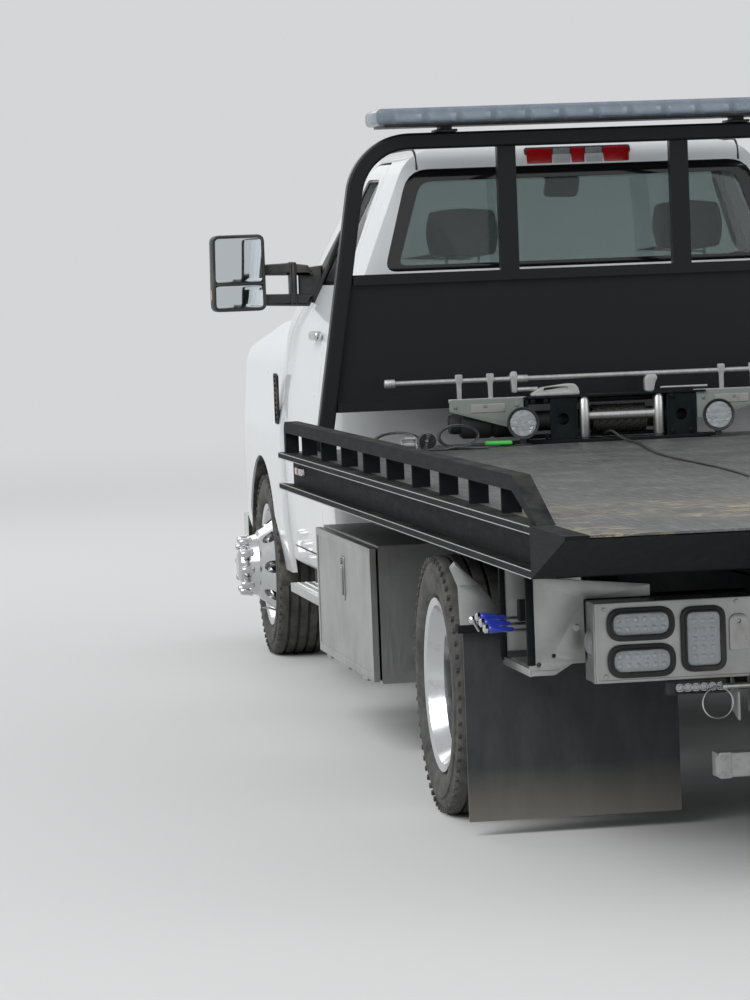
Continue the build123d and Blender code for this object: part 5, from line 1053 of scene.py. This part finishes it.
class TOW_OT_hubs(bpy.types.Operator):
    """Add chrome hub caps and nut covers to the front wheels, and nuts and valves to the rear wheels"""
    bl_idname = "tow.hubs"
    bl_label = "Hubs"

    def execute(self, context):
        wheels = context.scene.tow_wheels
        rim_depth = 0.206
        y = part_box("front_rim_left")[1][1]
        cover = turned([(-0.012, 0.017), (-0.01, 0.0215), (-0.002, 0.0215), (0.002, 0.018), (0.028, 0.0165),
                        (0.038, 0.013), (0.042, 0.006), (0.043, 0)], (FRONT, y - 0.046, AXLE + wheels.stud_circle), Y,
                       20)
        covers = ring(cover, (FRONT, 0, AXLE), "Y", wheels.nut_count, 0.2)
        cap = turned([(-0.038, 0.078), (-0.03, 0.079), (-0.01, 0.07), (0, 0.05), (0.0, 0)], (FRONT, y - 0.001, AXLE), Y,
                     48)
        valve = tube([(FRONT, y - 0.16, AXLE - 0.2), (FRONT + 0.004, y - 0.13, AXLE - 0.19),
                      (FRONT + 0.004, y - 0.1, AXLE - 0.185)], 0.004, sides=3)
        front = [*covers, cap, valve]
        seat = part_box("rear_tyres_left")[1][1] - rim_depth
        nut = turned([(-0.016, 0.019), (-0.014, 0.0205), (0.006, 0.0205), (0.01, 0.018), (0.022, 0.016), (0.026, 0.01),
                      (0.026, 0)], (REAR, seat, AXLE + wheels.stud_circle), Y, 6)
        nuts = ring(nut, (REAR, 0, AXLE), "Y", wheels.nut_count, 0.1)
        valve = tube([(REAR, seat - 0.02, AXLE - 0.17), (REAR, seat + 0.03, AXLE - 0.185),
                      (REAR, seat + 0.09, AXLE - 0.2)], 0.004, sides=3)
        settle_sides(front, "front_hub_{}", "front_wheel_{}", "polished_rim", "chrome")
        settle_sides([*nuts, valve], "rear_hub_{}", "rear_wheels_{}", "polished_rim", "chrome")
        return {"FINISHED"}


class TOW_OT_cab(bpy.types.Operator):
    """Build the cab shell, doors and glass: a side section cut by a profile, then hollowed and opened"""
    bl_idname = "tow.cab"
    bl_label = "Cab"

    def execute(self, context):
        section = [(0.462, 0.747), (0.5, 0.64, 0.03), (0.862, 0.6, 0.03), (0.9, 0.44, 0.005), (0.975, 0.44, 0.03),
                   (1.001, 0.7, 0.15), (0.997, 1.16, 0.14), (0.958, 1.4, 0.06), (0.872, 1.56, 0.05),
                   (0.666, 2.066, 0.09), (0.42, 2.11, 0.2)]
        profile = [(CAB, 0.44, 0.02), (CAB, 1.54, 0.2), (CAB + 0.05, 2.06, 0.05), (CAB + 0.13, 2.11, 0.05),
                   (FRONT - 1.15, 2.116, 0.06), (FRONT - 1.06, 2.086, 0.04), (FRONT - 0.54, 1.5, 0.03),
                   (FRONT - 0.678, 1.2), (FRONT - 0.678, 0.44)]
        space = [(0.917, 0.79), (0.913, 1.16, 0.1), (0.874, 1.4, 0.05), (0.79, 1.545, 0.05), (0.6, 2.015, 0.07),
                 (0.4, 2.062, 0.1)]
        space_profile = [(CAB + 0.062, 0.79, 0.02), (CAB + 0.062, 1.535, 0.2), (CAB + 0.112, 2.03, 0.05),
                         (CAB + 0.19, 2.062, 0.05), (FRONT - 1.18, 2.066, 0.05), (FRONT - 1.12, 2.05, 0.03),
                         (FRONT - 0.66, 1.49, 0.03), (FRONT - 0.74, 1.2), (FRONT - 0.74, 0.79)]

        def form(rows, outline, corner):
            """The solid that fills a half section across the cab and a profile along it."""
            piece = across_plate(CAB - 0.02, halved(rows), 1.56, 0, 0)
            cut(piece, [along_plate(-1.2, outline, 2.4, 0, 0)], "INTERSECT")
            if corner:
                plan = plate([rounded([(CAB, -1.04, corner), (FRONT, -1.04), (FRONT, 1.04), (CAB, 1.04, corner)], 0,
                                      8)], (0, 0, 0.3), X, Y, 2, 0)
                cut(piece, [plan], "INTERSECT")
            return piece

        def door_space(shrink, low=0.56):
            """The left door's outline as a cutter."""
            rear, fore = FRONT - 1.69 + shrink, FRONT - 0.722 - shrink
            rows = [(fore, 0.52 + shrink, 0.03), (rear, 0.52 + shrink, 0.06), (rear, 1.5, 0.06),
                    (rear + 0.06, 2.04 - shrink, 0.07), (FRONT - 1.215, 2.046 - shrink, 0.06),
                    (FRONT - 0.79 - shrink, 1.56, 0.04), (fore, 1.36, 0.02)]
            return along_plate(low, rows, 0.6, 0, 0)

        window = [(FRONT - 1.6, 1.578, 0.04), (FRONT - 1.565, 1.985, 0.05), (FRONT - 1.24, 1.99, 0.04),
                  (FRONT - 0.925, 1.578, 0.04)]
        rear_window = [(0.772, 1.622, 0.05), (0.664, 2.008, 0.08)]
        outer, inner = form(section, profile, 0.12), form(space, space_profile, 0)
        jamb = door_space(-0.008)
        openings = [jamb, mirrored(jamb), across_plate(CAB - 0.05, halved(rear_window), 0.4, 0, 0),
                    plate([rounded(halved(SCREEN), 0)], SCREEN_MIDDLE - SCREEN_OUT * 0.13, Y, SCREEN_RISE, 0.26, 0)]

        def twin(piece, inwards=0.0):
            return copies(piece, [(0, -inwards, 0)])[1]

        skin_depth, overlap, lining_inset = 0.026, 0.004, 0.036
        skin = cut(twin(outer), [door_space(0)], "INTERSECT")
        under, body = twin(outer, skin_depth), twin(outer, skin_depth - overlap)
        cut(skin, [under])
        cut(cut(body, [door_space(lining_inset)], "INTERSECT"), [twin(inner)])
        for panel in (skin, body):
            cut(panel, [along_plate(0.5, window, 0.6, 0, 0)])
        shell = cut(outer, [inner, *openings])
        settle([shell], "cab_body", "chassis", "white_paint", replaces=("cab_shell",), angle=30)
        settle_sides([skin, body], "door_panel_{}", "door_{}", "white_paint", replaces="door_{}", angle=30)

        glass = [wall_plate([wall_pane([(y + 0.004, z, r) for y, z, r in rear_window])], 0.009, 0.005),
                 plate([rounded(halved([(y + 0.006, z, r) for y, z, r in SCREEN]), 0)],
                       SCREEN_MIDDLE - SCREEN_OUT * 0.016, Y, SCREEN_RISE, 0.006, 0.001)]
        settle(glass, "cab_windows", "chassis", "dark_glass", replaces=("cab_glass",))
        glass = plate([door_pane(window)], (0, 0.845, DOOR_FOOT), BACK, DOOR_LEAN, 0.005, 0.001)
        settle_sides([glass], "door_window_{}", "door_{}", "dark_glass", replaces="door_glass_{}")
        return {"FINISHED"}


class TOW_OT_front(bpy.types.Operator):
    """Draw the hood, grille, headlamps and bumper as narrow as the fenders are"""
    bl_idname = "tow.front"
    bl_label = "Front"

    def execute(self, context):
        fender_share, bumper_share = 0.949, 0.932
        for node, name, body, slot, share in (("hood_shell", "hood_skin", "hood", "white_paint", fender_share),
                                              ("headlamps", "lamp_covers", "hood", "lamp_clear", fender_share),
                                              ("grille", "grille_face", "hood", "black_plastic", fender_share),
                                              ("front_bumper", "bumper_face", "chassis", "polished_rim", bumper_share)):
            source = frame["nodes"][node]
            slim = add_object(name, source.data.copy())
            slim.scale = (1, share, 1)
            pick([slim])
            apply_place()
            settle([slim], name, body, slot, replaces=(node,), angle=30)
        return {"FINISHED"}


class TOW_OT_rear_gear(bpy.types.Operator):
    """Build the control enclosures, their levers, the flap hangers, the lock pins and the lift's end plates"""
    bl_idname = "tow.rear_gear"
    bl_label = "Rear gear"

    def execute(self, context):
        x = REAR - 1.0  # the enclosures' rear face
        sheet = across_plate(x, [(0.75, 0.706), (0.938, 0.706), (0.938, 0.53), (0.975, 0.53), (1.025, 0.5),
                                 (1.097, 0.5), (1.097, 0.775), (0.75, 0.74)], 0.003, 0.004, 0.001,
                             [circle(1.026, 0.554, 0.006, 12), circle(1.069, 0.531, 0.007, 12)])
        wall = along_plate(0.942, square(x + 0.003, 0.535, x + 0.41, 0.775), 0.003)
        far = across_plate(x + 0.4, square(0.943, 0.535, 1.09, 0.775), 0.003)
        roof = block((x, 0.943, 0.775), (x + 0.41, 1.096, 0.778), 0.001)
        floor = plate([square(x, 1.012, x + 0.41, 1.092)], (0, 0, 0.513), X, Y, 0.003, 0.0005)
        lip = block((x, 1.09, 0.498), (x + 0.41, 1.094, 0.52), 0.001)
        louvre = block((x + 0.02, 1.018, 0.514), (x + 0.026, 1.08, 0.521), 0.001, 1)
        louvres = spaced(louvre, (0.022, 0, 0), 15)
        head = bolt((x, 0.959, 0.63), BACK, 0.009)
        hanger = across_plate(REAR - 0.556, [(1.234, 0.779, 0.004), (1.218, 0.797), (1.147, 0.725), (1.09, 0.653),
                                             (1.091, 0.588), (1.208, 0.588), (1.211, 0.722)], 0.004, 0.008)
        fold = across_plate(REAR - 0.566, [(1.231, 0.776), (1.218, 0.792), (1.15, 0.727), (1.208, 0.722)], 0.01, 0.006,
                            0.002)
        settle(both([sheet, wall, far, roof, floor, *louvres, lip, head, hanger, fold]), "control_enclosures",
               "chassis", "stainless", replaces=("rear_brackets",))
        bars = [block((x + 0.388, 1.084, 0.512), (x + 0.412, 1.1, 0.79), 0.003),
                block((x - 0.014, 1.08, 0.53), (x + 0.002, 1.102, 0.775), 0.003),
                block((REAR - 0.526, 0.432, 0.6), (REAR - 0.486, 1.2, 0.64), 0.004),
                block((REAR - 0.85, 0.432, 0.64), (REAR - 0.81, 1.09, 0.7), 0.004),
                block((REAR - 0.56, 1.06, 0.588), (REAR - 0.5, 1.215, 0.612), 0.003),
                block((REAR - 0.543, 0.585, 0.598), (REAR - 0.525, 1.19, 0.628), 0.002)]
        heads = spaced(bolt((REAR - 0.543, 0.63, 0.613), BACK, 0.009), (0, 0.17, 0), 3)
        settle(both(bars + heads), "flap_hangers", "chassis", "black_paint")
        stems, grips = [], []
        for number, lever_x in enumerate((REAR - 0.76, REAR - 0.82, REAR - 0.88)):
            drop = -0.012 * number
            stems.append(turned([(0, 0), (0, 0.004), (0.13, 0.0045), (0.13, 0)], (lever_x, 1.012, 0.644 + drop), Y, 12))
            grips.append(turned([(0, 0.004), (0.006, 0.0065), (0.03, 0.0075), (0.055, 0.0115), (0.068, 0.0125),
                                 (0.074, 0.009), (0.074, 0)], (lever_x, 1.112, 0.646 + drop), (0, 1, 0.06), 20))
            stems.append(turned([(0, 0), (0, 0.009), (0.004, 0.0125), (0.011, 0.0125), (0.016, 0.007), (0.0165, 0)],
                                (lever_x, 1.184, 0.65 + drop), (0, 1, 0.06), 20))
        knob_at = Vector((REAR - 0.7, 1.197, 0.638))
        stems.append(tube([knob_at, knob_at + Vector((0.02, -0.02, -0.032)), knob_at + Vector((0.12, -0.05, -0.05))],
                          0.0045, sides=3))
        stems.append(turned([(-0.011, 0), (-0.0095, 0.006), (-0.005, 0.0105), (0.002, 0.0115), (0.008, 0.008),
                             (0.011, 0)], knob_at, X, 20))
        settle(both(stems), "lever_stems", "chassis", "polished_rim", "chrome")
        settle(both(grips), "lever_grips", "chassis", "black_plastic", "grip")

        plate_x = REAR - 1.244
        ends = across_plate(plate_x, [(0.594, 0.219), (0.626, 0.219), (0.637, 0.232), (0.637, 0.277), (0.626, 0.29),
                                      (0.594, 0.29)], 0.006, 0.002)
        tops = [bolt((plate_x, 0.618, z), BACK, 0.006) for z in (0.276, 0.233)]
        skid = across_plate(plate_x + 0.002, square(-0.594, 0.224, 0.594, 0.285), 0.004, 0.003)
        settle(both([ends, *tops]) + [skid], "crossbar_plates", "lift_crossbar", "galvanised", "cast_light")
        receiver = [along_plate(0.492,
                                [(REAR - 1.14, 0.38), (REAR - 1.06, 0.38), (REAR - 1.06, 0.483), (REAR - 1.14, 0.483)],
                                0.006), along_plate(0.54, [(REAR - 1.145, 0.362), (REAR - 1.06, 0.39),
                                                           (REAR - 1.06, 0.483), (REAR - 1.145, 0.445)], 0.006)]
        settle(both(receiver), "pin_brackets", "chassis", "galvanised")
        pin = turned([(0, 0), (0, 0.011), (0.012, 0.012), (0.014, 0.0085), (0.1, 0.0085), (0.104, 0.005), (0.104, 0)],
                     (REAR - 1.13, 0.586, 0.459), (0, -1, 0), 16)
        loop = [(REAR - 1.138, 0.601 + 0.043 * cos(a),
                 0.415 + 0.043 * sin(a)) for a in (pi * n / 12 + 0.9 for n in range(24))]
        wire = tube(loop, 0.0022, smooth=True, closed=True)
        settle(both([pin, wire]), "lock_pins", "chassis", "bare_steel", "bright_steel")
        return {"FINISHED"}


class TOW_OT_cab_trim(bpy.types.Operator):
    """Add window bands, roof seams, wipers, the stop lamp, door handles, vents, arch liners and steps"""
    bl_idname = "tow.cab_trim"
    bl_label = "Cab trim"

    def execute(self, context):
        outer = [(0.774, 1.621, 0.05), (0.666, 2.01, 0.08)]
        inner = [(0.715, 1.645, 0.03), (0.617, 1.962, 0.05)]
        border = [(y - 0.045, z - (0.04 if z > 0 else -0.03), r) for y, z, r in SCREEN]
        bands = [wall_plate([wall_pane(outer), wall_pane(inner)], 0.005, 0.004),
                 plate([rounded(halved(SCREEN), 0), rounded(halved(border), 0)], SCREEN_MIDDLE, Y, SCREEN_RISE, 0.004,
                       0.001)]

        def pane(grow):
            rows = [(FRONT - 1.6 - grow, 1.578 - grow, 0.04), (FRONT - 1.565 - grow, 1.985 + grow, 0.05),
                    (FRONT - 1.24 + grow * 0.6, 1.99 + grow, 0.04), (FRONT - 0.925 + grow * 1.6, 1.578 - grow, 0.04)]
            return door_pane(rows)

        frames = plate([pane(0.004), pane(-0.012)], (0, 0.858, DOOR_FOOT), BACK, DOOR_LEAN, 0.008, 0.001)
        settle_sides([frames], "window_frame_{}", "door_{}", "black_rubber", "band")
        seam = tube([(CAB + 0.045, 0.628, 2.006), (CAB + 0.055, 0.629, 2.05), (CAB + 0.085, 0.63, 2.079),
                     (CAB + 0.14, 0.631, 2.09), (FRONT - 1.2, 0.63, 2.093), (FRONT - 1.08, 0.628, 2.082)], 0.0045,
                    smooth=True, sides=3)
        wipers = []
        for y in (0.52, -0.12):
            ends = [SCREEN_MIDDLE + SCREEN_OUT * 0.022 + SCREEN_RISE * rise + Vector((0, side, 0)) for side,
                    rise in ((y, -0.36), (y - 0.5, -0.22))]
            wipers += [tube(ends, 0.007, sides=2), tube([end + SCREEN_OUT * -0.006 for end in ends], 0.004, sides=2)]
        settle(bands, "window_bands", "chassis", "black_rubber", "band")
        settle([*both([seam]), *wipers], "roof_seams", "chassis", "black_rubber")

        lamp = wall_plate([rounded(square(-0.207, 0.47, 0.207, 0.54), 0.012)], 0.006, 0.03, 0.004)
        settle([lamp], "stop_lamp_base", "chassis", "black_plastic")
        reds, clears = [], []
        for low, high, group in ((-0.2, -0.1, reds), (-0.096, -0.03, clears), (-0.026, 0.026, reds),
                                 (0.03, 0.096, clears), (0.1, 0.2, reds)):
            group.append(wall_plate([rounded(square(low, 0.476, high, 0.534), 0.006)], -0.001, 0.014, 0.003))
        settle(reds, "stop_lamp_red", "chassis", "lamp_clear", "red_lens")
        settle(clears, "cargo_lamp_clear", "chassis", "lamp_clear")

        grips = [along_plate(0.964, square(FRONT - 1.642, 1.364, FRONT - 1.452, 1.402), 0.028, 0.018, 0.009),
                 along_plate(0.958, circle(FRONT - 1.43, 1.383, 0.016), 0.012, 0, 0.003)]
        settle_sides(grips, "door_grip_{}", "door_{}", "polished_rim", "chrome")

        vent = along_plate(1.012, square(FRONT - 0.62, 1.01, FRONT - 0.53, 1.22), 0.008, 0.014, 0.002,
                           [rounded(square(FRONT - 0.61, 1.02, FRONT - 0.54, 1.21), 0.006)])
        back = along_plate(1.008, square(FRONT - 0.612, 1.018, FRONT - 0.538, 1.212), 0.004)
        slat = block((FRONT - 0.612, 1.01, 1.035), (FRONT - 0.538, 1.019, 1.041), 0.001, 1)
        # The liner's arch, out along its outer radius and back along the inner one
        half_ring = [(FRONT + r * cos(a), AXLE + r * sin(a)) for r,
                     turn in ((0.47, 1), (0.46, -1)) for a in [pi * n / 24 for n in range(-1, 26)][::turn]]
        liners = [along_plate(0.962, half_ring, 0.05, 0, 0.002), vent, back, *spaced(slat, (0, 0, 0.02), 8)]
        settle(both(liners), "arch_liners", "hood", "black_plastic", "liner")

        z = 0.372  # the step's top
        tread = [block((FRONT - 1.76, 0.885, z), (FRONT - 0.96, 1.036, z + 0.004), 0.001),
                 block((FRONT - 1.76, 1.03, z - 0.03), (FRONT - 0.96, 1.036, z + 0.002), 0.001)]
        stud = turned([(0, 0.009), (0.003, 0.008), (0.0035, 0.005), (0.001, 0.004)], (FRONT - 1.72, 0.91, z + 0.004), Z,
                      8)
        pick(spaced(stud, (0, 0.033, 0), 3))
        bpy.ops.object.join()
        tread += spaced(context.active_object, (0.04, 0, 0), 18)
        under = [block((FRONT - 1.755, 0.89, z - 0.03), (FRONT - 0.965, 1.03, z - 0.002), 0.004)]
        under += [block((FRONT + x - 0.02, 0.905, z), (FRONT + x + 0.02, 0.945, 0.45), 0.003) for x in (-1.66, -1.06)]
        settle(both(tread), "step_treads", "chassis", "stainless", "alloy")
        settle(both(under), "step_frames", "chassis", "black_plastic", replaces=("cab_steps",))
        return {"FINISHED"}


class TOW_OT_interior(bpy.types.Operator):
    """Build the padded seats with head restraints, the cabin's trim and the rear-view mirror"""
    bl_idname = "tow.interior"
    bl_label = "Interior"

    def execute(self, context):
        def pad(low, high, crown, lean=0.0, foot=None):
            """A cushion between two corners, rounded towards a ball by its crown and leaned back about its foot."""
            clear_selection()
            bpy.ops.mesh.primitive_cube_add(size=1)
            piece = context.active_object
            bpy.ops.object.mode_set(mode="EDIT")
            bpy.ops.mesh.subdivide(number_cuts=9)
            bpy.ops.mesh.select_all(action="SELECT")
            bpy.ops.transform.tosphere(value=crown)
            bpy.ops.object.mode_set(mode="OBJECT")
            piece.dimensions = [b - a for a, b in zip(low, high)]
            piece.location = [(a + b) / 2 for a, b in zip(low, high)]
            apply_place()
            smooth = piece.modifiers.new("soften", "SUBSURF")
            smooth.levels = smooth.render_levels = 1
            bpy.ops.object.modifier_apply(modifier="soften")
            if lean:
                turn_about(piece, foot, lean, "Y")
            return piece

        for middle, name in ((0.43, "left"), (-0.43, "right")):
            foot = Vector((CAB + 0.28, middle, 0.99))
            cushion = [pad((CAB + 0.29, middle - 0.25, 0.95), (CAB + 0.71, middle + 0.25, 1.085), 0.28),
                       pad((CAB + 0.44, middle - 0.16, 1.04), (CAB + 0.69, middle + 0.16, 1.095), 0.35)]
            backrest = [pad((CAB + 0.235, middle - 0.245, 0.99), (CAB + 0.35, middle + 0.245, 1.66), 0.24, -0.17, foot),
                        pad((CAB + 0.3, middle - 0.15, 1.08), (CAB + 0.37, middle + 0.15, 1.56), 0.3, -0.17, foot)]
            head = [pad((CAB + 0.098, middle - 0.135, 1.66), (CAB + 0.19, middle + 0.135, 1.85), 0.34)]
            for pieces, part in ((cushion, "cushion"), (backrest, "backrest"), (head, "headrest")):
                piece = settle(pieces, f"seat_{part}_{name}", "chassis", "seat_cloth",
                               replaces=("seats",) if part == "cushion" and name == "left" else (), angle=60)
        bases = both([block((CAB + 0.29, 0.23, 0.79), (CAB + 0.67, 0.63, 0.96), 0.02, 3)])
        posts = both([tube([(CAB + 0.15, y, 1.58), (CAB + 0.145, y, 1.7)], 0.006, sides=3) for y in (0.37, 0.49)])
        settle(bases, "seat_bases", "chassis", "black_plastic")
        settle(posts, "headrest_posts", "chassis", "polished_rim", "chrome")
        glass_x = REAR + 4.45
        mirror_head = [across_plate(glass_x, [(-0.112, 1.842), (-0.215, 1.838), (-0.22, 1.905), (-0.117, 1.909)], 0.024,
                                    0.02, 0.008), tube([(glass_x + 0.02, -0.165, 1.885), (glass_x + 0.04, -0.15, 1.93),
                                                        (glass_x + 0.05, -0.14, 1.975)], 0.009, sides=3)]
        settle(mirror_head, "rear_view_mirror", "chassis", "black_plastic")
        lining = [block((CAB + 0.064, -0.86, 0.795), (CAB + 0.075, 0.86, 1.6), 0.002),
                  block((CAB + 0.19, -0.42, 2.05), (FRONT - 1.2, 0.42, 2.06), 0.004),
                  block((CAB + 0.1, -0.9, 0.792), (FRONT - 0.8, 0.9, 0.8), 0.002)]
        settle(lining, "cabin_lining", "chassis", "black_plastic", "trim")
        card = along_plate(0.872, square(FRONT - 1.62, 0.8, FRONT - 0.8, 1.36), 0.012, 0.04, 0.004)
        rest = block((FRONT - 1.5, 0.83, 1.12), (FRONT - 1.05, 0.88, 1.17), 0.012, 3)
        settle_sides([card, rest], "door_card_{}", "door_{}", "black_plastic", "trim")
        return {"FINISHED"}


class TOW_OT_body_fittings(bpy.types.Operator):
    """Add toolbox flanges and latches, the side channels' markers and painted edge highlights, and the deck's straps
    and tag
    """
    bl_idname = "tow.body_fittings"
    bl_label = "Body fittings"

    def execute(self, context):
        rear, fore = REAR + 1.498, REAR + 2.796
        rim = along_plate(1.15, square(rear + 0.002, 0.252, fore - 0.002, 0.702), 0.003, 0.004, 0.001,
                          [rounded(square(rear + 0.03, 0.28, fore - 0.03, 0.674), 0.004)])
        latch = [along_plate(1.15, square(REAR + 2.115, 0.481, REAR + 2.165, 0.637), 0.004, 0.01, 0.002),
                 block((REAR + 2.125, 1.153, 0.5), (REAR + 2.155, 1.163, 0.6), 0.004, 3),
                 turned([(0, 0), (0, 0.011), (0.006, 0.011), (0.008, 0.007), (0.008, 0)], (REAR + 2.14, 1.154, 0.62), Y,
                        16)]
        settle_sides([rim, *latch], "toolbox_trim_{}", "toolbox_door_{}", "stainless")

        low, high = REAR - 1.716, REAR + 3.27
        # Thin bright steel strips along the side channels' lips: painted highlights that stand in for the glint on
        # their edges
        lips = [tube([(low, 1.218, z), (high, 1.218, z)], 0.0016, sides=1) for z in (0.9595, 0.9405, 0.8452, 0.8255)]
        settle(both(lips), "channel_lip_highlights", "deck", "bare_steel")
        marks, rims = [], []
        for x, order in ((REAR + 2.95, (rims, marks)), (REAR - 1.75, (marks, rims))):
            for part, group in zip((0.0, 0.1), order):
                group.append(along_plate(1.163, square(x + part, 0.882, x + part + 0.085, 0.908), 0.014, 0.006, 0.003))
        settle(both(marks), "side_markers", "deck", "lamp_clear", "red_lens")
        settle(both(rims), "side_reflectors", "deck", "lamp_clear")

        def ribbon(points, x, width=0.05, thick=0.0025):
            """Webbing that stands on its edge: a line of (y, z) given thickness and a width along x."""
            line = [Vector(point) for point in points]
            sides = []
            for side in (0.5, -0.5):
                row = []
                for number, point in enumerate(line):
                    step = (line[min(number + 1, len(line) - 1)] - line[max(number - 1, 0)]).normalized()
                    row.append(tuple(point + Vector((-step.y, step.x)) * side * thick))
                sides.append(row)
            return across_plate(x, sides[0] + sides[1][::-1], width, 0, 0)

        def spiral(y, half_wide, half_tall, turns, pitch):
            """The (y, z) line of a strap rolled up on the deck, from its foot inwards."""
            per_turn = 20
            row = []
            for n in range(int(turns * per_turn) + 1):
                turn, shrink = 2 * pi * n / per_turn - pi / 2, pitch * n / per_turn
                row.append((y + (half_wide - shrink) * cos(turn),
                            DECK + 0.003 + half_tall + (half_tall - shrink) * sin(turn)))
            return row

        straps = [ribbon([(0.69, DECK + 0.003)] + spiral(0.6, 0.078, 0.045, 1.7, 0.005), REAR + 2.83),
                  ribbon([(0.94, DECK + 0.003)] + spiral(0.825, 0.088, 0.036, 1.6, 0.006), REAR + 2.86),
                  ribbon(spiral(0.722, 0.034, 0.032, 4.2, 0.0062), REAR + 2.8),
                  ribbon([(0.9, DECK + 0.005), (0.84, DECK + 0.02), (0.79, DECK + 0.012), (0.74, DECK + 0.004),
                          (0.66, DECK + 0.004), (0.62, DECK + 0.012), (0.56, DECK + 0.004), (0.5, DECK + 0.004)],
                         REAR + 2.77)]
        settle(straps, "deck_straps", "deck", "seat_cloth", "webbing")
        ratchet = [along_plate(y, [(REAR + 2.72, DECK + 0.006), (REAR + 2.8, DECK + 0.006), (REAR + 2.79, DECK + 0.05),
                                   (REAR + 2.745, DECK + 0.042)], 0.003, 0.008) for y in (0.775, 0.828)]
        ratchet += [rod((REAR + 2.765, 0.775, DECK + 0.026), Y, 0.056, 0.011, 16),
                    tube([(REAR + 2.775, 0.78, DECK + 0.045), (REAR + 2.72, 0.785, DECK + 0.052),
                          (REAR + 2.72, 0.82, DECK + 0.052), (REAR + 2.775, 0.825, DECK + 0.045)], 0.005, sides=2)]
        settle(ratchet, "strap_ratchet", "deck", "galvanised")
        tag = plate([rounded([(REAR + 2.86, 0.395), (REAR + 2.9, 0.4), (REAR + 2.91, 0.49), (REAR + 2.875, 0.5)],
                             0.008)], (0, 0, DECK + 0.008), X, Y, 0.014, 0.004)
        settle([tag], "deck_tag", "deck", "black_plastic", "tag")
        return {"FINISHED"}


class TOW_PT_panel(bpy.types.Panel):
    """The carrier's settings and steps"""
    bl_idname = "TOW_PT_panel"
    bl_label = "Rollback carrier"
    bl_space_type = "VIEW_3D"
    bl_region_type = "UI"
    bl_category = "Rollback"

    def draw(self, context):
        for settings in (context.scene.tow_studio, context.scene.tow_finishes, context.scene.tow_wheels):
            for name in settings.__annotations__:
                self.layout.prop(settings, name)
        for step in STEPS:
            self.layout.operator(step.bl_idname)


STEPS = (TOW_OT_studio, TOW_OT_finishes, TOW_OT_rope, TOW_OT_tyres, TOW_OT_hubs, TOW_OT_light_bar, TOW_OT_winch,
         TOW_OT_work_lamps, TOW_OT_tail_lamps, TOW_OT_mirrors, TOW_OT_cab, TOW_OT_front, TOW_OT_rear_gear,
         TOW_OT_cab_trim, TOW_OT_interior, TOW_OT_body_fittings)
CLASSES = (StudioSettings, FinishSettings, WheelSettings, *STEPS, TOW_PT_panel)


def register():
    for item in CLASSES:
        bpy.utils.register_class(item)
    bpy.types.Scene.tow_studio = bpy.props.PointerProperty(type=StudioSettings)
    bpy.types.Scene.tow_finishes = bpy.props.PointerProperty(type=FinishSettings)
    bpy.types.Scene.tow_wheels = bpy.props.PointerProperty(type=WheelSettings)


def unregister():
    for name in ("tow_studio", "tow_finishes", "tow_wheels"):
        delattr(bpy.types.Scene, name)
    for item in reversed(CLASSES):
        bpy.utils.unregister_class(item)


def main():
    register()
    for step in STEPS:
        group, name = step.bl_idname.split(".")
        getattr(getattr(bpy.ops, group), name)()
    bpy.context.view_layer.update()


if __name__ == "__main__":
    main()
